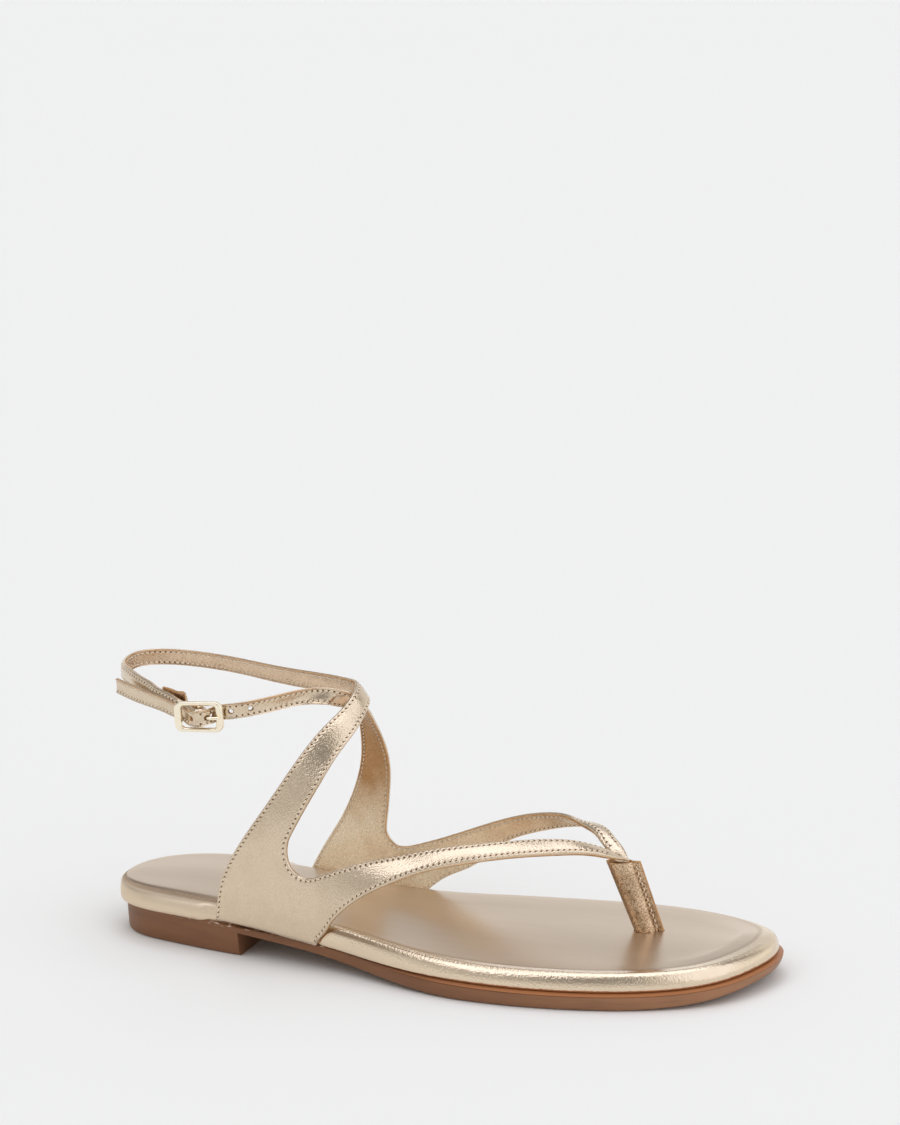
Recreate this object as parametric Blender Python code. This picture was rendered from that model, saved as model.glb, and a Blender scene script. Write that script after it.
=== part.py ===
"""Toe post sandal for the right foot: outsole with heel, footbed, crossed strap upper, toe post and buckle.

Metres in Blender, millimetres in the tables. +X runs heel to toe, +Y to the medial side, +Z up,
and the floor is z = 0. The tables' x starts at the heel and their y on the heel's own axis. Each
sub-part has its own function, and each strap is a ribbon lofted through a short table of ribs.
"""
from collections import namedtuple
from math import cos, pi, radians, sin

import bmesh
import bpy
import numpy as np
from mathutils import Matrix, Vector

MM = 0.001
NAME = "toe_post_sandal"
MIDDLE = Vector((126.15, -2.28, 0))  # of the whole shoe's box; it is moved to the origin at the end

# ---------------------------------------------------------------- sole and footbed, mm
HEEL_END, TOE_END = 1.4, 252.0       # the footbed's two ends along the shoe
TOE_TIP_Y = 4.8                      # the toe's foremost point lies this far to the medial side
GAP = 0.3                            # between neighbouring pieces
BREAST_X = 59.4                      # front face of the heel block
BREAST_DRAFT = 0.6                   # how far that face leans forward over its height
REAR_STATIONS, FRONT_STATIONS = 12, 44
LIP_START, LIP_FULL = 100.0, 160.0   # where the forefoot ledge begins, and where it is full
FLAT_FOREFOOT = (150.0, 212.0)       # here the underside lies on the floor
HEEL_TAPER = 2.2                     # the heel block's sides draw in this much towards the floor
REAR_TUCK = 1.6                      # the block's upright rear is set in this much more than its sides
HEEL_PAD, PAD_FADE = 1.0, (62.0, 90.0)  # the footbed is this much thicker over the heel, and thins here
RECESS = 1.6                         # how deep the quarters press into the footbed's side
RECESS_RAMP = 4.0                    # length over which that recess fades
LATERAL_QUARTER = (48.0, 98.0)       # where the quarters meet the sole
MEDIAL_QUARTER = (61.0, 114.0)

# half widths of the shoe's outline about the heel's own axis
Section = namedtuple("Section", "x lateral medial")
OUTLINE = (
    Section(5.0, 13.6, 12.8),
    Section(15.1, 22.6, 22.2),
    Section(32.8, 27.7, 27.3),
    Section(63.0, 32.0, 27.3),
    Section(100.8, 36.5, 25.5),
    Section(138.6, 45.4, 34.1),
    Section(171.4, 47.0, 40.5),
    Section(201.6, 42.4, 42.6),
    Section(226.8, 33.0, 37.3),
    Section(241.9, 21.2, 28.0),
    Section(249.5, 6.2, 19.1),
)

# heights along the shoe: the sole's underside ahead of the heel, and its top
Height = namedtuple("Height", "x z")
SHANK_UNDERSIDE = (
    Height(60.0, 9.3), Height(90.0, 6.4), Height(120.0, 2.4), Height(145.0, 0.2), Height(158.0, 0.0),
    Height(205.0, 0.0), Height(222.0, 0.5), Height(238.0, 1.9), Height(252.0, 4.5),
)
SOLE_TOP = (
    Height(0.0, 11.8), Height(30.0, 12.2), Height(62.0, 11.6), Height(90.0, 10.1), Height(120.0, 7.5),
    Height(150.0, 6.4), Height(210.0, 6.2), Height(235.0, 7.0), Height(252.0, 8.5),
)

# the outsole's side: share of its height, and how far it stands out, without and with the ledge
Level = namedtuple("Level", "rise plain ledge")
OUTSOLE_SIDE = (
    Level(0.00, -1.6, -0.7), Level(0.10, -1.1, 0.4), Level(0.55, -0.9, 1.2), Level(0.76, -0.8, 1.6),
    Level(0.88, -0.8, 1.4), Level(0.97, -0.9, 0.4), Level(1.00, -1.6, -1.4),
)

# the footbed's rolled rim, from its seat on the sole to the crease round its top
Ring = namedtuple("Ring", "inset height")
FOOTBED_RIM = (
    Ring(2.2, 0.0), Ring(1.0, 0.5), Ring(0.2, 1.8), Ring(0.0, 3.2), Ring(0.5, 4.8), Ring(1.6, 5.9),
    Ring(3.0, 6.4), Ring(4.4, 6.1), Ring(7.0, 5.9),
)
FOOTBED_TOP = FOOTBED_RIM[-1].height

# ---------------------------------------------------------------- toe post, mm
POST_FOOT = Vector((203.6, 10.2, 12.4))    # where its axis meets the footbed's top
POST_HEAD = Vector((195.4, 8.5, 38.4))
POST_TURN = radians(12.6)                  # its broad face is turned this much from the shoe's axis
SLIT_DEPTH = 2.4                           # how deep it sits in the footbed
TUBE_CENTRE = -1.7                         # along its broad face, the flange being at the other end
TUBE_RADII = (4.1, 2.6)
TUBE_MOUTH, TUBE_STEPS = radians(28), 14   # the flange leaves the tube within this angle of its broad face
BORE_RADII, BORE_DEPTH, BORE_STEPS = (3.4, 1.7), 12.0, 16
FLANGE_END, FLANGE_HALF = 5.9, 1.0
TONGUE_LEVELS = (20.0, 23.0, 26.4)         # heights over the footbed of the straps' ends in the tube
TONGUE_EDGES = (-3.3, 0.5)                 # their edges, across the post's broad face
TONGUE_SHIFT = 0.35                        # each lies this far to its own side of the middle

# ---------------------------------------------------------------- upper, mm
WALL, STRAP_WALL, FOLD_WALL, TONGUE_WALL = 1.8, 1.6, 1.4, 1.0
RIB_STEPS, RIB_REACH = 2, 4.5        # sections between ribs: at least these, and no further apart

# a ribbon's section: share of its width, steps of the edge's rounding, and lift outwards in half walls
EDGE_STEP = 0.45
Corner = namedtuple("Corner", "share edge lift")
SECTION = (
    Corner(0, 0, 0.0), Corner(0, 1, 0.9), Corner(0.3, 0, 1.1), Corner(0.7, 0, 1.1), Corner(1, -1, 0.9),
    Corner(1, 0, 0.0), Corner(1, -1, -0.9), Corner(0.7, 0, -1.0), Corner(0.3, 0, -1.0), Corner(0, 1, -0.9),
)

# A rib joins a ribbon's two edges: the edge round the cut-out, which becomes the ankle strap's lower
# edge on the lateral ribbon and the billet's upper edge on the medial one, and the outer rim.
Rib = namedtuple("Rib", "slot_x slot_y slot_z rim_x rim_y rim_z wall")
LATERAL_RIBS = (
    # thong strap, from the toe post back to the quarter
    Rib(192.0, 6.6, 41.6, 194.8, 4.2, 41.4, 1.4),
    Rib(188.1, 3.5, 43.9, 190.1, -2.2, 43.2, WALL),
    Rib(182.2, -1.0, 46.9, 184.8, -6.4, 44.5, WALL),
    Rib(174.2, -5.0, 48.3, 176.4, -11.0, 44.8, WALL),
    Rib(163.6, -12.0, 49.0, 164.3, -19.0, 45.1, WALL),
    Rib(151.5, -20.0, 48.9, 150.4, -27.0, 44.1, WALL),
    Rib(138.8, -26.5, 47.8, 135.6, -33.0, 41.5, WALL),
    Rib(125.5, -31.5, 45.2, 121.5, -36.2, 35.8, WALL),
    Rib(113.1, -34.2, 42.5, 110.3, -37.5, 29.1, WALL),
    Rib(103.7, -35.0, 39.4, 101.9, -37.8, 21.2, WALL),
    # quarter, round the foot of the cut-out
    Rib(96.6, -35.0, 36.8, 98.0, -37.2, 15.7, WALL),
    Rib(92.6, -34.9, 35.3, 93.5, -36.0, 10.6, WALL),
    Rib(89.3, -34.6, 35.0, 83.0, -34.4, 11.4, WALL),
    Rib(86.9, -34.4, 35.8, 71.3, -32.9, 12.6, WALL),
    Rib(85.0, -34.4, 37.3, 61.1, -31.8, 13.3, WALL),
    Rib(83.7, -34.3, 39.2, 52.1, -30.7, 13.8, WALL),
    Rib(83.0, -34.2, 41.7, 53.2, -31.0, 21.4, WALL),
    Rib(82.8, -34.0, 44.5, 55.1, -31.2, 29.6, WALL),
    # arm, up to the front of the ankle
    Rib(83.5, -33.8, 48.0, 59.2, -31.6, 38.0, WALL),
    Rib(85.4, -33.4, 51.9, 63.5, -32.0, 44.7, WALL),
    Rib(88.8, -32.3, 58.4, 67.9, -32.0, 51.0, WALL),
    Rib(94.4, -28.6, 69.1, 75.7, -30.6, 62.2, WALL),
    Rib(99.1, -21.5, 78.7, 85.3, -26.0, 77.3, WALL),
    Rib(102.4, -13.5, 85.2, 92.1, -18.5, 87.1, WALL),
    Rib(102.7, -7.4, 88.4, 95.8, -12.0, 91.8, WALL),
    Rib(102.1, -2.8, 90.3, 97.6, -7.0, 95.6, WALL),
    # ankle strap, round the medial side and the heel
    Rib(100.6, 1.8, 91.2, 96.8, -1.8, 97.4, WALL),
    Rib(97.4, 6.2, 91.2, 95.0, 2.4, 98.2, STRAP_WALL),
    Rib(92.5, 8.8, 90.8, 91.2, 5.8, 98.0, STRAP_WALL),
    Rib(86.0, 10.8, 90.4, 85.6, 8.8, 97.7, STRAP_WALL),
    Rib(76.0, 13.6, 90.2, 76.0, 12.6, 97.3, STRAP_WALL),
    Rib(58.0, 18.2, 90.4, 58.0, 17.4, 97.0, STRAP_WALL),
    Rib(40.0, 24.0, 90.8, 40.0, 23.2, 97.0, STRAP_WALL),
    Rib(22.0, 27.6, 91.0, 22.0, 26.8, 97.2, STRAP_WALL),
    Rib(8.4, 26.0, 91.4, 8.4, 25.2, 97.7, STRAP_WALL),
    Rib(0.7, 19.6, 91.8, 0.9, 19.2, 98.0, STRAP_WALL),
    Rib(-0.5, 11.0, 91.8, -0.3, 11.0, 98.0, STRAP_WALL),
    Rib(2.1, 2.4, 91.7, 2.4, 2.6, 98.0, STRAP_WALL),
    Rib(8.0, -4.8, 91.5, 8.3, -4.4, 97.8, STRAP_WALL),
    Rib(15.2, -11.2, 91.1, 15.4, -10.8, 97.4, STRAP_WALL),
    Rib(22.3, -16.6, 90.6, 22.5, -16.3, 96.9, STRAP_WALL),
)
MEDIAL_RIBS = (
    # thong strap, from the toe post back to the quarter
    Rib(191.0, 8.2, 40.9, 194.4, 10.6, 41.5, 1.4),
    Rib(188.1, 9.7, 42.2, 191.3, 13.5, 44.0, WALL),
    Rib(183.7, 12.5, 45.6, 185.4, 18.3, 46.3, WALL),
    Rib(177.6, 16.5, 47.4, 177.0, 23.0, 45.9, WALL),
    Rib(170.8, 19.5, 49.2, 167.0, 26.4, 43.6, WALL),
    Rib(161.7, 23.0, 48.8, 155.2, 29.0, 39.8, WALL),
    Rib(149.0, 25.7, 45.8, 141.4, 30.4, 32.6, WALL),
    Rib(132.7, 26.8, 39.9, 129.2, 30.4, 23.9, WALL),
    Rib(116.6, 27.0, 33.5, 119.6, 29.8, 18.9, WALL),
    Rib(108.4, 27.0, 30.7, 112.6, 28.6, 14.2, WALL),
    # quarter, round the foot of the cut-out
    Rib(104.1, 26.8, 29.5, 107.6, 26.8, 9.2, WALL),
    Rib(101.7, 26.8, 29.3, 98.1, 25.9, 10.0, WALL),
    Rib(99.3, 26.8, 29.6, 86.4, 26.3, 11.1, WALL),
    Rib(97.2, 27.0, 31.2, 75.9, 26.9, 12.2, WALL),
    Rib(95.9, 27.0, 33.2, 65.2, 27.4, 13.3, WALL),
    Rib(95.4, 27.0, 36.2, 68.4, 27.6, 24.2, WALL),
    Rib(96.0, 27.2, 41.6, 72.1, 28.2, 30.3, WALL),
    # arm, up to the front of the ankle, under the lateral one
    Rib(97.1, 27.0, 50.7, 77.6, 28.8, 39.5, WALL),
    Rib(98.2, 25.0, 61.0, 83.2, 28.0, 51.8, WALL),
    Rib(98.4, 20.0, 71.0, 86.9, 25.0, 62.6, WALL),
    Rib(98.4, 12.0, 80.7, 90.0, 18.5, 74.3, WALL),
    Rib(98.8, 4.0, 87.8, 92.2, 10.8, 83.4, WALL),
    Rib(98.0, -1.6, 92.2, 92.2, 3.6, 87.8, WALL),
    # billet, forward edge turned up, back towards the buckle
    Rib(96.1, -4.6, 95.8, 90.4, -1.0, 89.6, STRAP_WALL),
    Rib(91.6, -5.2, 96.9, 87.0, -3.2, 90.6, STRAP_WALL),
    Rib(85.6, -6.4, 97.4, 82.6, -5.4, 91.1, STRAP_WALL),
    Rib(79.4, -10.8, 97.3, 77.6, -9.8, 91.1, STRAP_WALL),
    Rib(73.9, -16.6, 96.7, 72.6, -15.6, 90.5, STRAP_WALL),
    Rib(68.3, -21.6, 95.9, 67.5, -20.8, 89.8, STRAP_WALL),
    Rib(62.3, -25.6, 95.1, 61.8, -24.9, 89.1, STRAP_WALL),
)

# ---------------------------------------------------------------- buckle, mm
BUCKLE_CENTRE = Vector((47.9, -30.0, 89.8))
BUCKLE_TURN = radians(8.0)           # its long side runs this much inwards as it goes forward
BUCKLE_CLIMB = 0.03                  # and rises this much for each unit of length
FRAME_SIZE, FRAME_RADIUS = (18.3, 11.2), 2.4
WINDOW_SIZE, WINDOW_RADIUS = (12.9, 8.2), 1.2
FRAME_HALF, FRAME_ROUND = 1.0, 0.4   # half thickness, of which this much is the edge's rounding
BAR_RADIUS, BAR_DEPTH = 0.8, -0.6    # the centre bar lies a little behind the frame's middle
PIN_RADIUS = 0.6
PIN_WRAP, PIN_WRAP_STEPS = (-150, 30), 6   # the pin's eye turns round the bar through these angles
PIN_CLEARANCE = 0.35
FOLD_RADIUS = BAR_RADIUS + GAP + FOLD_WALL / 2

# straps in the buckle's terms: forward along its long side, outward from the foot, the edges' heights
Weave = namedtuple("Weave", "along out top bottom wall")
BACK_STRAP = (
    Weave(-20.0, -12.6, 7.2, 1.0, STRAP_WALL), Weave(-15.0, -9.5, 6.5, 0.3, STRAP_WALL),
    Weave(-12.0, -7.2, 6.0, -0.2, STRAP_WALL), Weave(-10.0, -5.7, 5.5, -0.8, STRAP_WALL),
    Weave(-8.0, -4.6, 4.8, -1.4, STRAP_WALL), Weave(-6.2, -4.1, 4.1, -2.0, FOLD_WALL),
    Weave(-4.6, -3.0, 3.6, -2.4, FOLD_WALL), Weave(-3.2, -1.2, 3.3, -2.7, FOLD_WALL),
    Weave(-1.8, 0.5, 3.2, -2.8, FOLD_WALL),
)
FOLD_STEPS = 5                       # ribs round the centre bar
FOLDED_END = (
    Weave(-1.6, -2.7, 3.2, -2.8, FOLD_WALL), Weave(-3.0, -4.2, 3.3, -2.7, FOLD_WALL),
    Weave(-4.6, -5.5, 3.4, -2.6, FOLD_WALL), Weave(-6.3, -6.2, 3.9, -2.2, FOLD_WALL),
    Weave(-6.8, -6.4, 6.6, -2.1, FOLD_WALL), Weave(-9.0, -7.2, 7.3, -1.4, FOLD_WALL),
    Weave(-12.5, -9.5, 7.4, -0.3, FOLD_WALL),
    Weave(-17.0, -12.6, 7.5, 0.8, FOLD_WALL),
)
BILLET = (
    Weave(10.6, -1.9, 4.4, -1.4, STRAP_WALL), Weave(8.4, -2.2, 4.1, -1.6, STRAP_WALL),
    Weave(6.7, -2.1, 3.8, -2.0, STRAP_WALL), Weave(5.1, -0.8, 3.4, -2.5, STRAP_WALL),
    Weave(3.4, 1.3, 3.1, -2.8, STRAP_WALL), Weave(1.8, 2.7, 2.9, -3.0, STRAP_WALL),
    Weave(0.0, 3.2, 2.8, -3.1, STRAP_WALL), Weave(-1.8, 2.7, 2.9, -3.0, STRAP_WALL),
    Weave(-3.4, 1.3, 3.0, -2.9, STRAP_WALL), Weave(-5.1, -0.8, 3.3, -2.6, STRAP_WALL),
    Weave(-6.7, -2.1, 3.5, -2.2, STRAP_WALL), Weave(-8.4, -2.4, 3.8, -1.6, STRAP_WALL),
    Weave(-11.0, -3.6, 4.3, -1.1, STRAP_WALL), Weave(-15.0, -6.6, 4.9, -0.6, STRAP_WALL),
    Weave(-20.0, -9.7, 5.5, 0.0, STRAP_WALL), Weave(-26.0, -14.2, 6.0, 0.2, STRAP_WALL),
    Weave(-33.0, -20.4, 6.3, 0.4, STRAP_WALL), Weave(-39.4, -26.2, 6.6, 0.9, STRAP_WALL),
)
# the prong: from the centre bar, through the billet, to its rest on the forward side bar
PRONG = ((2.4, 0.2), (3.6, 1.7), (5.2, 2.1), (7.0, 1.95), (8.3, 1.9))
HOLES, FIRST_HOLE, HOLE_PITCH = 4, -1.9, 6.7   # in the billet, forward of the bar; the pin is in the second
HOLE_RADIUS, PUNCH_REACH = 0.9, 1.5


# ---------------------------------------------------------------- curves
def cubic(knots, values, at, closed=False):
    """Read the natural, or the closed, cubic spline through the values at the knots."""
    knots, values = np.asarray(knots, float), np.asarray(values, float)
    count, step = len(knots), np.diff(knots)
    slope = np.diff(values, axis=0) / step[:, None]
    system, target = np.zeros((count, count)), np.zeros_like(values)
    for i in range(1, count - 1):
        system[i, i - 1:i + 2] = step[i - 1], 2 * (step[i - 1] + step[i]), step[i]
        target[i] = 6 * (slope[i] - slope[i - 1])
    if closed:
        system[0, 0], system[0, -1] = 1, -1
        system[-1, [-2, 0, 1]] = step[-1], 2 * (step[-1] + step[0]), step[0]
        target[-1] = 6 * (slope[0] - slope[-1])
    else:
        system[0, 0] = system[-1, -1] = 1
    bend = np.linalg.solve(system, target)
    at = np.clip(at, knots[0], knots[-1])
    i = np.clip(np.searchsorted(knots, at) - 1, 0, count - 2)
    right = ((at - knots[i]) / step[i])[:, None]
    left = 1 - right
    curved = (left ** 3 - left) * bend[i] + (right ** 3 - right) * bend[i + 1]
    return left * values[i] + right * values[i + 1] + curved * (step[i] ** 2 / 6)[:, None]


def chord(points):
    """Distances along a run of points, from 0."""
    return np.concatenate([[0], np.cumsum(np.linalg.norm(np.diff(points, axis=0), axis=1))])


def height_at(table, x):
    """Read a table of heights at the stations x."""
    return cubic([h.x for h in table], [[h.z] for h in table], np.asarray(x, float))[:, 0]


def ramp(x, start, end):
    """A smooth step from 0 at start to 1 at end."""
    t = np.clip((x - start) / (end - start), 0, 1)
    return t * t * (3 - 2 * t)


# ---------------------------------------------------------------- mesh helpers
def material(name, colour, roughness, metallic=0.0):
    made = bpy.data.materials.new(name)
    made.use_nodes = True
    shader = made.node_tree.nodes["Principled BSDF"]
    shader.inputs["Base Color"].default_value = (*colour, 1)
    shader.inputs["Roughness"].default_value = roughness
    shader.inputs["Metallic"].default_value = metallic
    return made


def add_mesh(name, points, faces, collection, finish=None):
    """Make an object of points in mm and faces, its faces turned outwards."""
    shape = bmesh.new()
    verts = [shape.verts.new([c * MM for c in point]) for point in points]
    for face in faces:
        shape.faces.new([verts[i] for i in face])
    bmesh.ops.recalc_face_normals(shape, faces=shape.faces)
    mesh = bpy.data.meshes.new(name)
    shape.to_mesh(mesh)
    shape.free()
    mesh.shade_smooth()
    mesh.set_sharp_from_angle(angle=radians(40))
    made = bpy.data.objects.new(name, mesh)
    collection.objects.link(made)
    if finish:
        mesh.materials.append(finish)
    return made


def band_faces(count, rings, closed=True):
    """Faces between successive rings of count points each."""
    last = count if closed else count - 1
    return [
        (r * count + i, r * count + (i + 1) % count, (r + 1) * count + (i + 1) % count, (r + 1) * count + i)
        for r in range(rings - 1) for i in range(last)
    ]


def boolean(target, tool, operation, collection):
    """Join a tool to the target, or cut it away, and hide the tool."""
    modifier = target.modifiers.new(tool.name, "BOOLEAN")
    modifier.operation = operation
    modifier.object = tool
    tool.hide_render = True
    tool.display_type = "WIRE"
    if tool.name not in collection.objects:
        for owner in list(tool.users_collection):
            owner.objects.unlink(tool)
        collection.objects.link(tool)


def mesh_from_curve(curve_object, collection, finish=None):
    """Turn a curve object into a mesh object with welded caps."""
    evaluated = curve_object.evaluated_get(bpy.context.evaluated_depsgraph_get())
    mesh = bpy.data.meshes.new_from_object(evaluated)
    shape = bmesh.new()
    shape.from_mesh(mesh)
    bmesh.ops.remove_doubles(shape, verts=shape.verts, dist=1e-6)
    shape.to_mesh(mesh)
    shape.free()
    mesh.materials.clear()
    if finish:
        mesh.materials.append(finish)
    made = bpy.data.objects.new(curve_object.name + "_mesh", mesh)
    made.matrix_world = curve_object.matrix_world
    collection.objects.link(made)
    name = curve_object.name
    bpy.data.objects.remove(curve_object)
    made.name = name
    return made


def add_tube(name, points, radius, collection, finish=None):
    """A round rod through points in mm."""
    curve = bpy.data.curves.new(name, "CURVE")
    curve.dimensions = "3D"
    curve.bevel_depth = radius * MM
    curve.bevel_resolution = 2
    curve.use_fill_caps = True
    spline = curve.splines.new("POLY")
    spline.points.add(len(points) - 1)
    for knot, point in zip(spline.points, points):
        knot.co = (*(Vector(point) * MM), 1)
    tube = bpy.data.objects.new(name, curve)
    collection.objects.link(tube)
    bpy.context.view_layer.update()
    return mesh_from_curve(tube, collection, finish)


# ---------------------------------------------------------------- sole and footbed
def outline_stations():
    """Stations round the outline, heel to toe on the lateral side and back: points and outward normals.

    Both sides have a station at the heel's breast and one just ahead of it, so the loft can step there.
    """
    lateral = [(s.x, -s.lateral) for s in OUTLINE]
    medial = [(s.x, s.medial) for s in reversed(OUTLINE)]
    heel = (HEEL_END, 0)
    points = np.array([heel, *lateral, (TOE_END, TOE_TIP_Y), *medial, heel])
    knots = chord(points)
    toe = knots[len(lateral) + 1]
    sides = []
    for start, end in ((0.0, toe), (knots[-1], toe)):
        fine = np.linspace(start, end, 1500)
        x = cubic(knots, points, fine, closed=True)[:, 0]
        breast = fine[np.argmax(x > BREAST_X)]
        ahead = fine[np.argmax(x > BREAST_X + BREAST_DRAFT)]
        rear = np.linspace(start, breast, REAR_STATIONS)
        sides.append(np.concatenate([rear, np.linspace(ahead, end, FRONT_STATIONS)]))
    at = np.concatenate([sides[0], sides[1][-2:0:-1]])
    here = cubic(knots, points, at, closed=True)
    tangent = cubic(knots, points, at % knots[-1] + 0.05, closed=True) - here
    tangent /= np.linalg.norm(tangent, axis=1)[:, None]
    return here, np.stack([tangent[:, 1], -tangent[:, 0]], axis=1)


def sole_loft(name, rings, collection, finish):
    """Close a stack of outline rings with a ladder of faces below and above."""
    count = len(rings[0])
    faces = band_faces(count, len(rings))
    half = REAR_STATIONS + FRONT_STATIONS
    for base in (0, (len(rings) - 1) * count):
        for i in range(half - 1):
            rung = [i, i + 1, (count - i - 1) % count, (count - i) % count]
            faces.append([base + j for j in dict.fromkeys(rung)])
    return add_mesh(name, np.concatenate(rings), faces, collection, finish)


def sole_rings(outline, normal, outsets, heights):
    """Rings at the given outsets and heights, each an array over the stations."""
    return [
        np.column_stack([outline + normal * outset[:, None], height])
        for outset, height in zip(outsets, heights)
    ]


def make_outsole(collection, finish):
    """The moulded unit: heel block, arched shank and forefoot with its ledge, in one loft."""
    outline, normal = outline_stations()
    x = outline[:, 0]
    heel = x < BREAST_X + BREAST_DRAFT / 2
    underside = np.maximum(height_at(SHANK_UNDERSIDE, x), 0)
    underside[heel | ((x > FLAT_FOREFOOT[0]) & (x < FLAT_FOREFOOT[1]))] = 0
    top = height_at(SOLE_TOP, x)
    ledge = ramp(x, LIP_START, LIP_FULL)
    tuck = REAR_TUCK * (1 - ramp(x, HEEL_END, BREAST_X))
    outsets, heights = [], []
    for level in OUTSOLE_SIDE:
        taper = HEEL_TAPER * (1 - level.rise) * heel * ramp(x, HEEL_END, BREAST_X / 2)
        outsets.append(level.plain * (1 - ledge) + level.ledge * ledge - taper - tuck)
        heights.append(underside + level.rise * (top - underside))
    return sole_loft("outsole", sole_rings(outline, normal, outsets, heights), collection, finish)


def quarter_recess(x, medial):
    """How deep the footbed's side is pressed in where a quarter passes over it."""
    recess = np.zeros_like(x)
    for (start, end), side in ((LATERAL_QUARTER, ~medial), (MEDIAL_QUARTER, medial)):
        window = ramp(x, start - RECESS_RAMP, start) * (1 - ramp(x, end, end + RECESS_RAMP))
        recess += RECESS * window * side
    return recess


def make_footbed(collection, cutters, finish):
    """The padded footbed with its rolled rim and the slit that holds the toe post."""
    outline, normal = outline_stations()
    x = outline[:, 0]
    medial = np.arange(len(x)) >= REAR_STATIONS + FRONT_STATIONS
    recess = quarter_recess(x, medial)
    seat = height_at(SOLE_TOP, x) + GAP
    swell = 1 + HEEL_PAD / FOOTBED_TOP * (1 - ramp(x, *PAD_FADE))
    outsets, heights = [], []
    for ring in FOOTBED_RIM:
        fade = max(0.0, 1 - ring.inset / FOOTBED_RIM[-2].inset)
        outsets.append(-ring.inset - recess * fade ** 0.5)
        heights.append(seat + ring.height * swell)
    footbed = sole_loft("footbed", sole_rings(outline, normal, outsets, heights), collection, finish)
    slit = post_prism("slit", post_outline(GAP), -SLIT_DEPTH, SLIT_DEPTH, cutters)
    boolean(footbed, slit, "DIFFERENCE", cutters)
    return footbed


# ---------------------------------------------------------------- toe post
def post_outline(grow=0.0):
    """The sleeve's outer outline: an oval tube running out into the flat stitched flange."""
    long, short = TUBE_RADII[0] + grow, TUBE_RADII[1] + grow
    flange = FLANGE_HALF + grow
    points = [(FLANGE_END + grow, -flange), (FLANGE_END + grow, flange)]
    for step in range(TUBE_STEPS + 1):
        angle = TUBE_MOUTH + step / TUBE_STEPS * (2 * pi - 2 * TUBE_MOUTH)
        points.append((TUBE_CENTRE + long * cos(angle), short * sin(angle)))
    return points


def bore_outline():
    """The opening down the sleeve's tube."""
    turns = [2 * pi * i / BORE_STEPS for i in range(BORE_STEPS)]
    return [(TUBE_CENTRE + BORE_RADII[0] * cos(a), BORE_RADII[1] * sin(a)) for a in turns]


def at_post(level, broad, thin):
    """A point at a height over the post's foot, across its broad and its thin side."""
    lean = (POST_HEAD - POST_FOOT) / (POST_HEAD.z - POST_FOOT.z)
    across = Vector((cos(POST_TURN), sin(POST_TURN), 0))
    through = Vector((-sin(POST_TURN), cos(POST_TURN), 0))
    return POST_FOOT + lean * level + across * broad + through * thin


def post_prism(name, outline, below, above, collection, finish=None):
    """A prism of the outline along the post's axis, from below its foot to above it, by height."""
    points = [at_post(level, u, v) for level in (below, above) for u, v in outline]
    count = len(outline)
    faces = band_faces(count, 2) + [range(count), range(count, 2 * count)]
    return add_mesh(name, points, faces, collection, finish)


def make_toe_post(collection, cutters, finish):
    """The wrapped sleeve, hollow at the top, that the thong straps run into."""
    tall = POST_HEAD.z - POST_FOOT.z
    sleeve = post_prism("toe_post", post_outline(), GAP - SLIT_DEPTH, tall, collection, finish)
    bore = post_prism("bore", bore_outline(), tall - BORE_DEPTH, tall + GAP, cutters)
    boolean(sleeve, bore, "DIFFERENCE", cutters)
    return sleeve


# ---------------------------------------------------------------- buckle
def buckle_axes():
    """Unit vectors forward along the frame, up it, and outward from the foot."""
    forward = Vector((cos(BUCKLE_TURN), sin(BUCKLE_TURN), BUCKLE_CLIMB)).normalized()
    outward = Vector((sin(BUCKLE_TURN), -cos(BUCKLE_TURN), 0))
    return forward, outward.cross(forward), outward


def at_buckle(along, out, up):
    forward, upward, outward = buckle_axes()
    return BUCKLE_CENTRE + forward * along + outward * out + upward * up


def weave_ribs(weaves, slot_is_top):
    """Ribs of a strap given in the buckle's terms."""
    ribs = []
    for w in weaves:
        top, bottom = at_buckle(w.along, w.out, w.top), at_buckle(w.along, w.out, w.bottom)
        slot, rim = (top, bottom) if slot_is_top else (bottom, top)
        ribs.append(Rib(*slot, *rim, w.wall))
    return ribs


def fold_weaves():
    """The ankle strap's turn round the centre bar, from its outer leg to its inner one."""
    turns = [radians(90 - 180 * (i + 0.5) / FOLD_STEPS) for i in range(FOLD_STEPS)]
    top, bottom = BACK_STRAP[-1].top, BACK_STRAP[-1].bottom
    return [
        Weave(FOLD_RADIUS * cos(a), BAR_DEPTH + FOLD_RADIUS * sin(a), top, bottom, FOLD_WALL) for a in turns
    ]


def rounded_rectangle(size, radius, steps=5):
    """Corner points of a rectangle with round corners, anticlockwise."""
    points = []
    for quadrant in range(4):
        sign_x, sign_y = ((1, 1), (-1, 1), (-1, -1), (1, -1))[quadrant]
        centre = (sign_x * (size[0] / 2 - radius), sign_y * (size[1] / 2 - radius))
        for step in range(steps):
            angle = (quadrant + step / (steps - 1)) * pi / 2
            points.append((centre[0] + radius * cos(angle), centre[1] + radius * sin(angle)))
    return points


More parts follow.
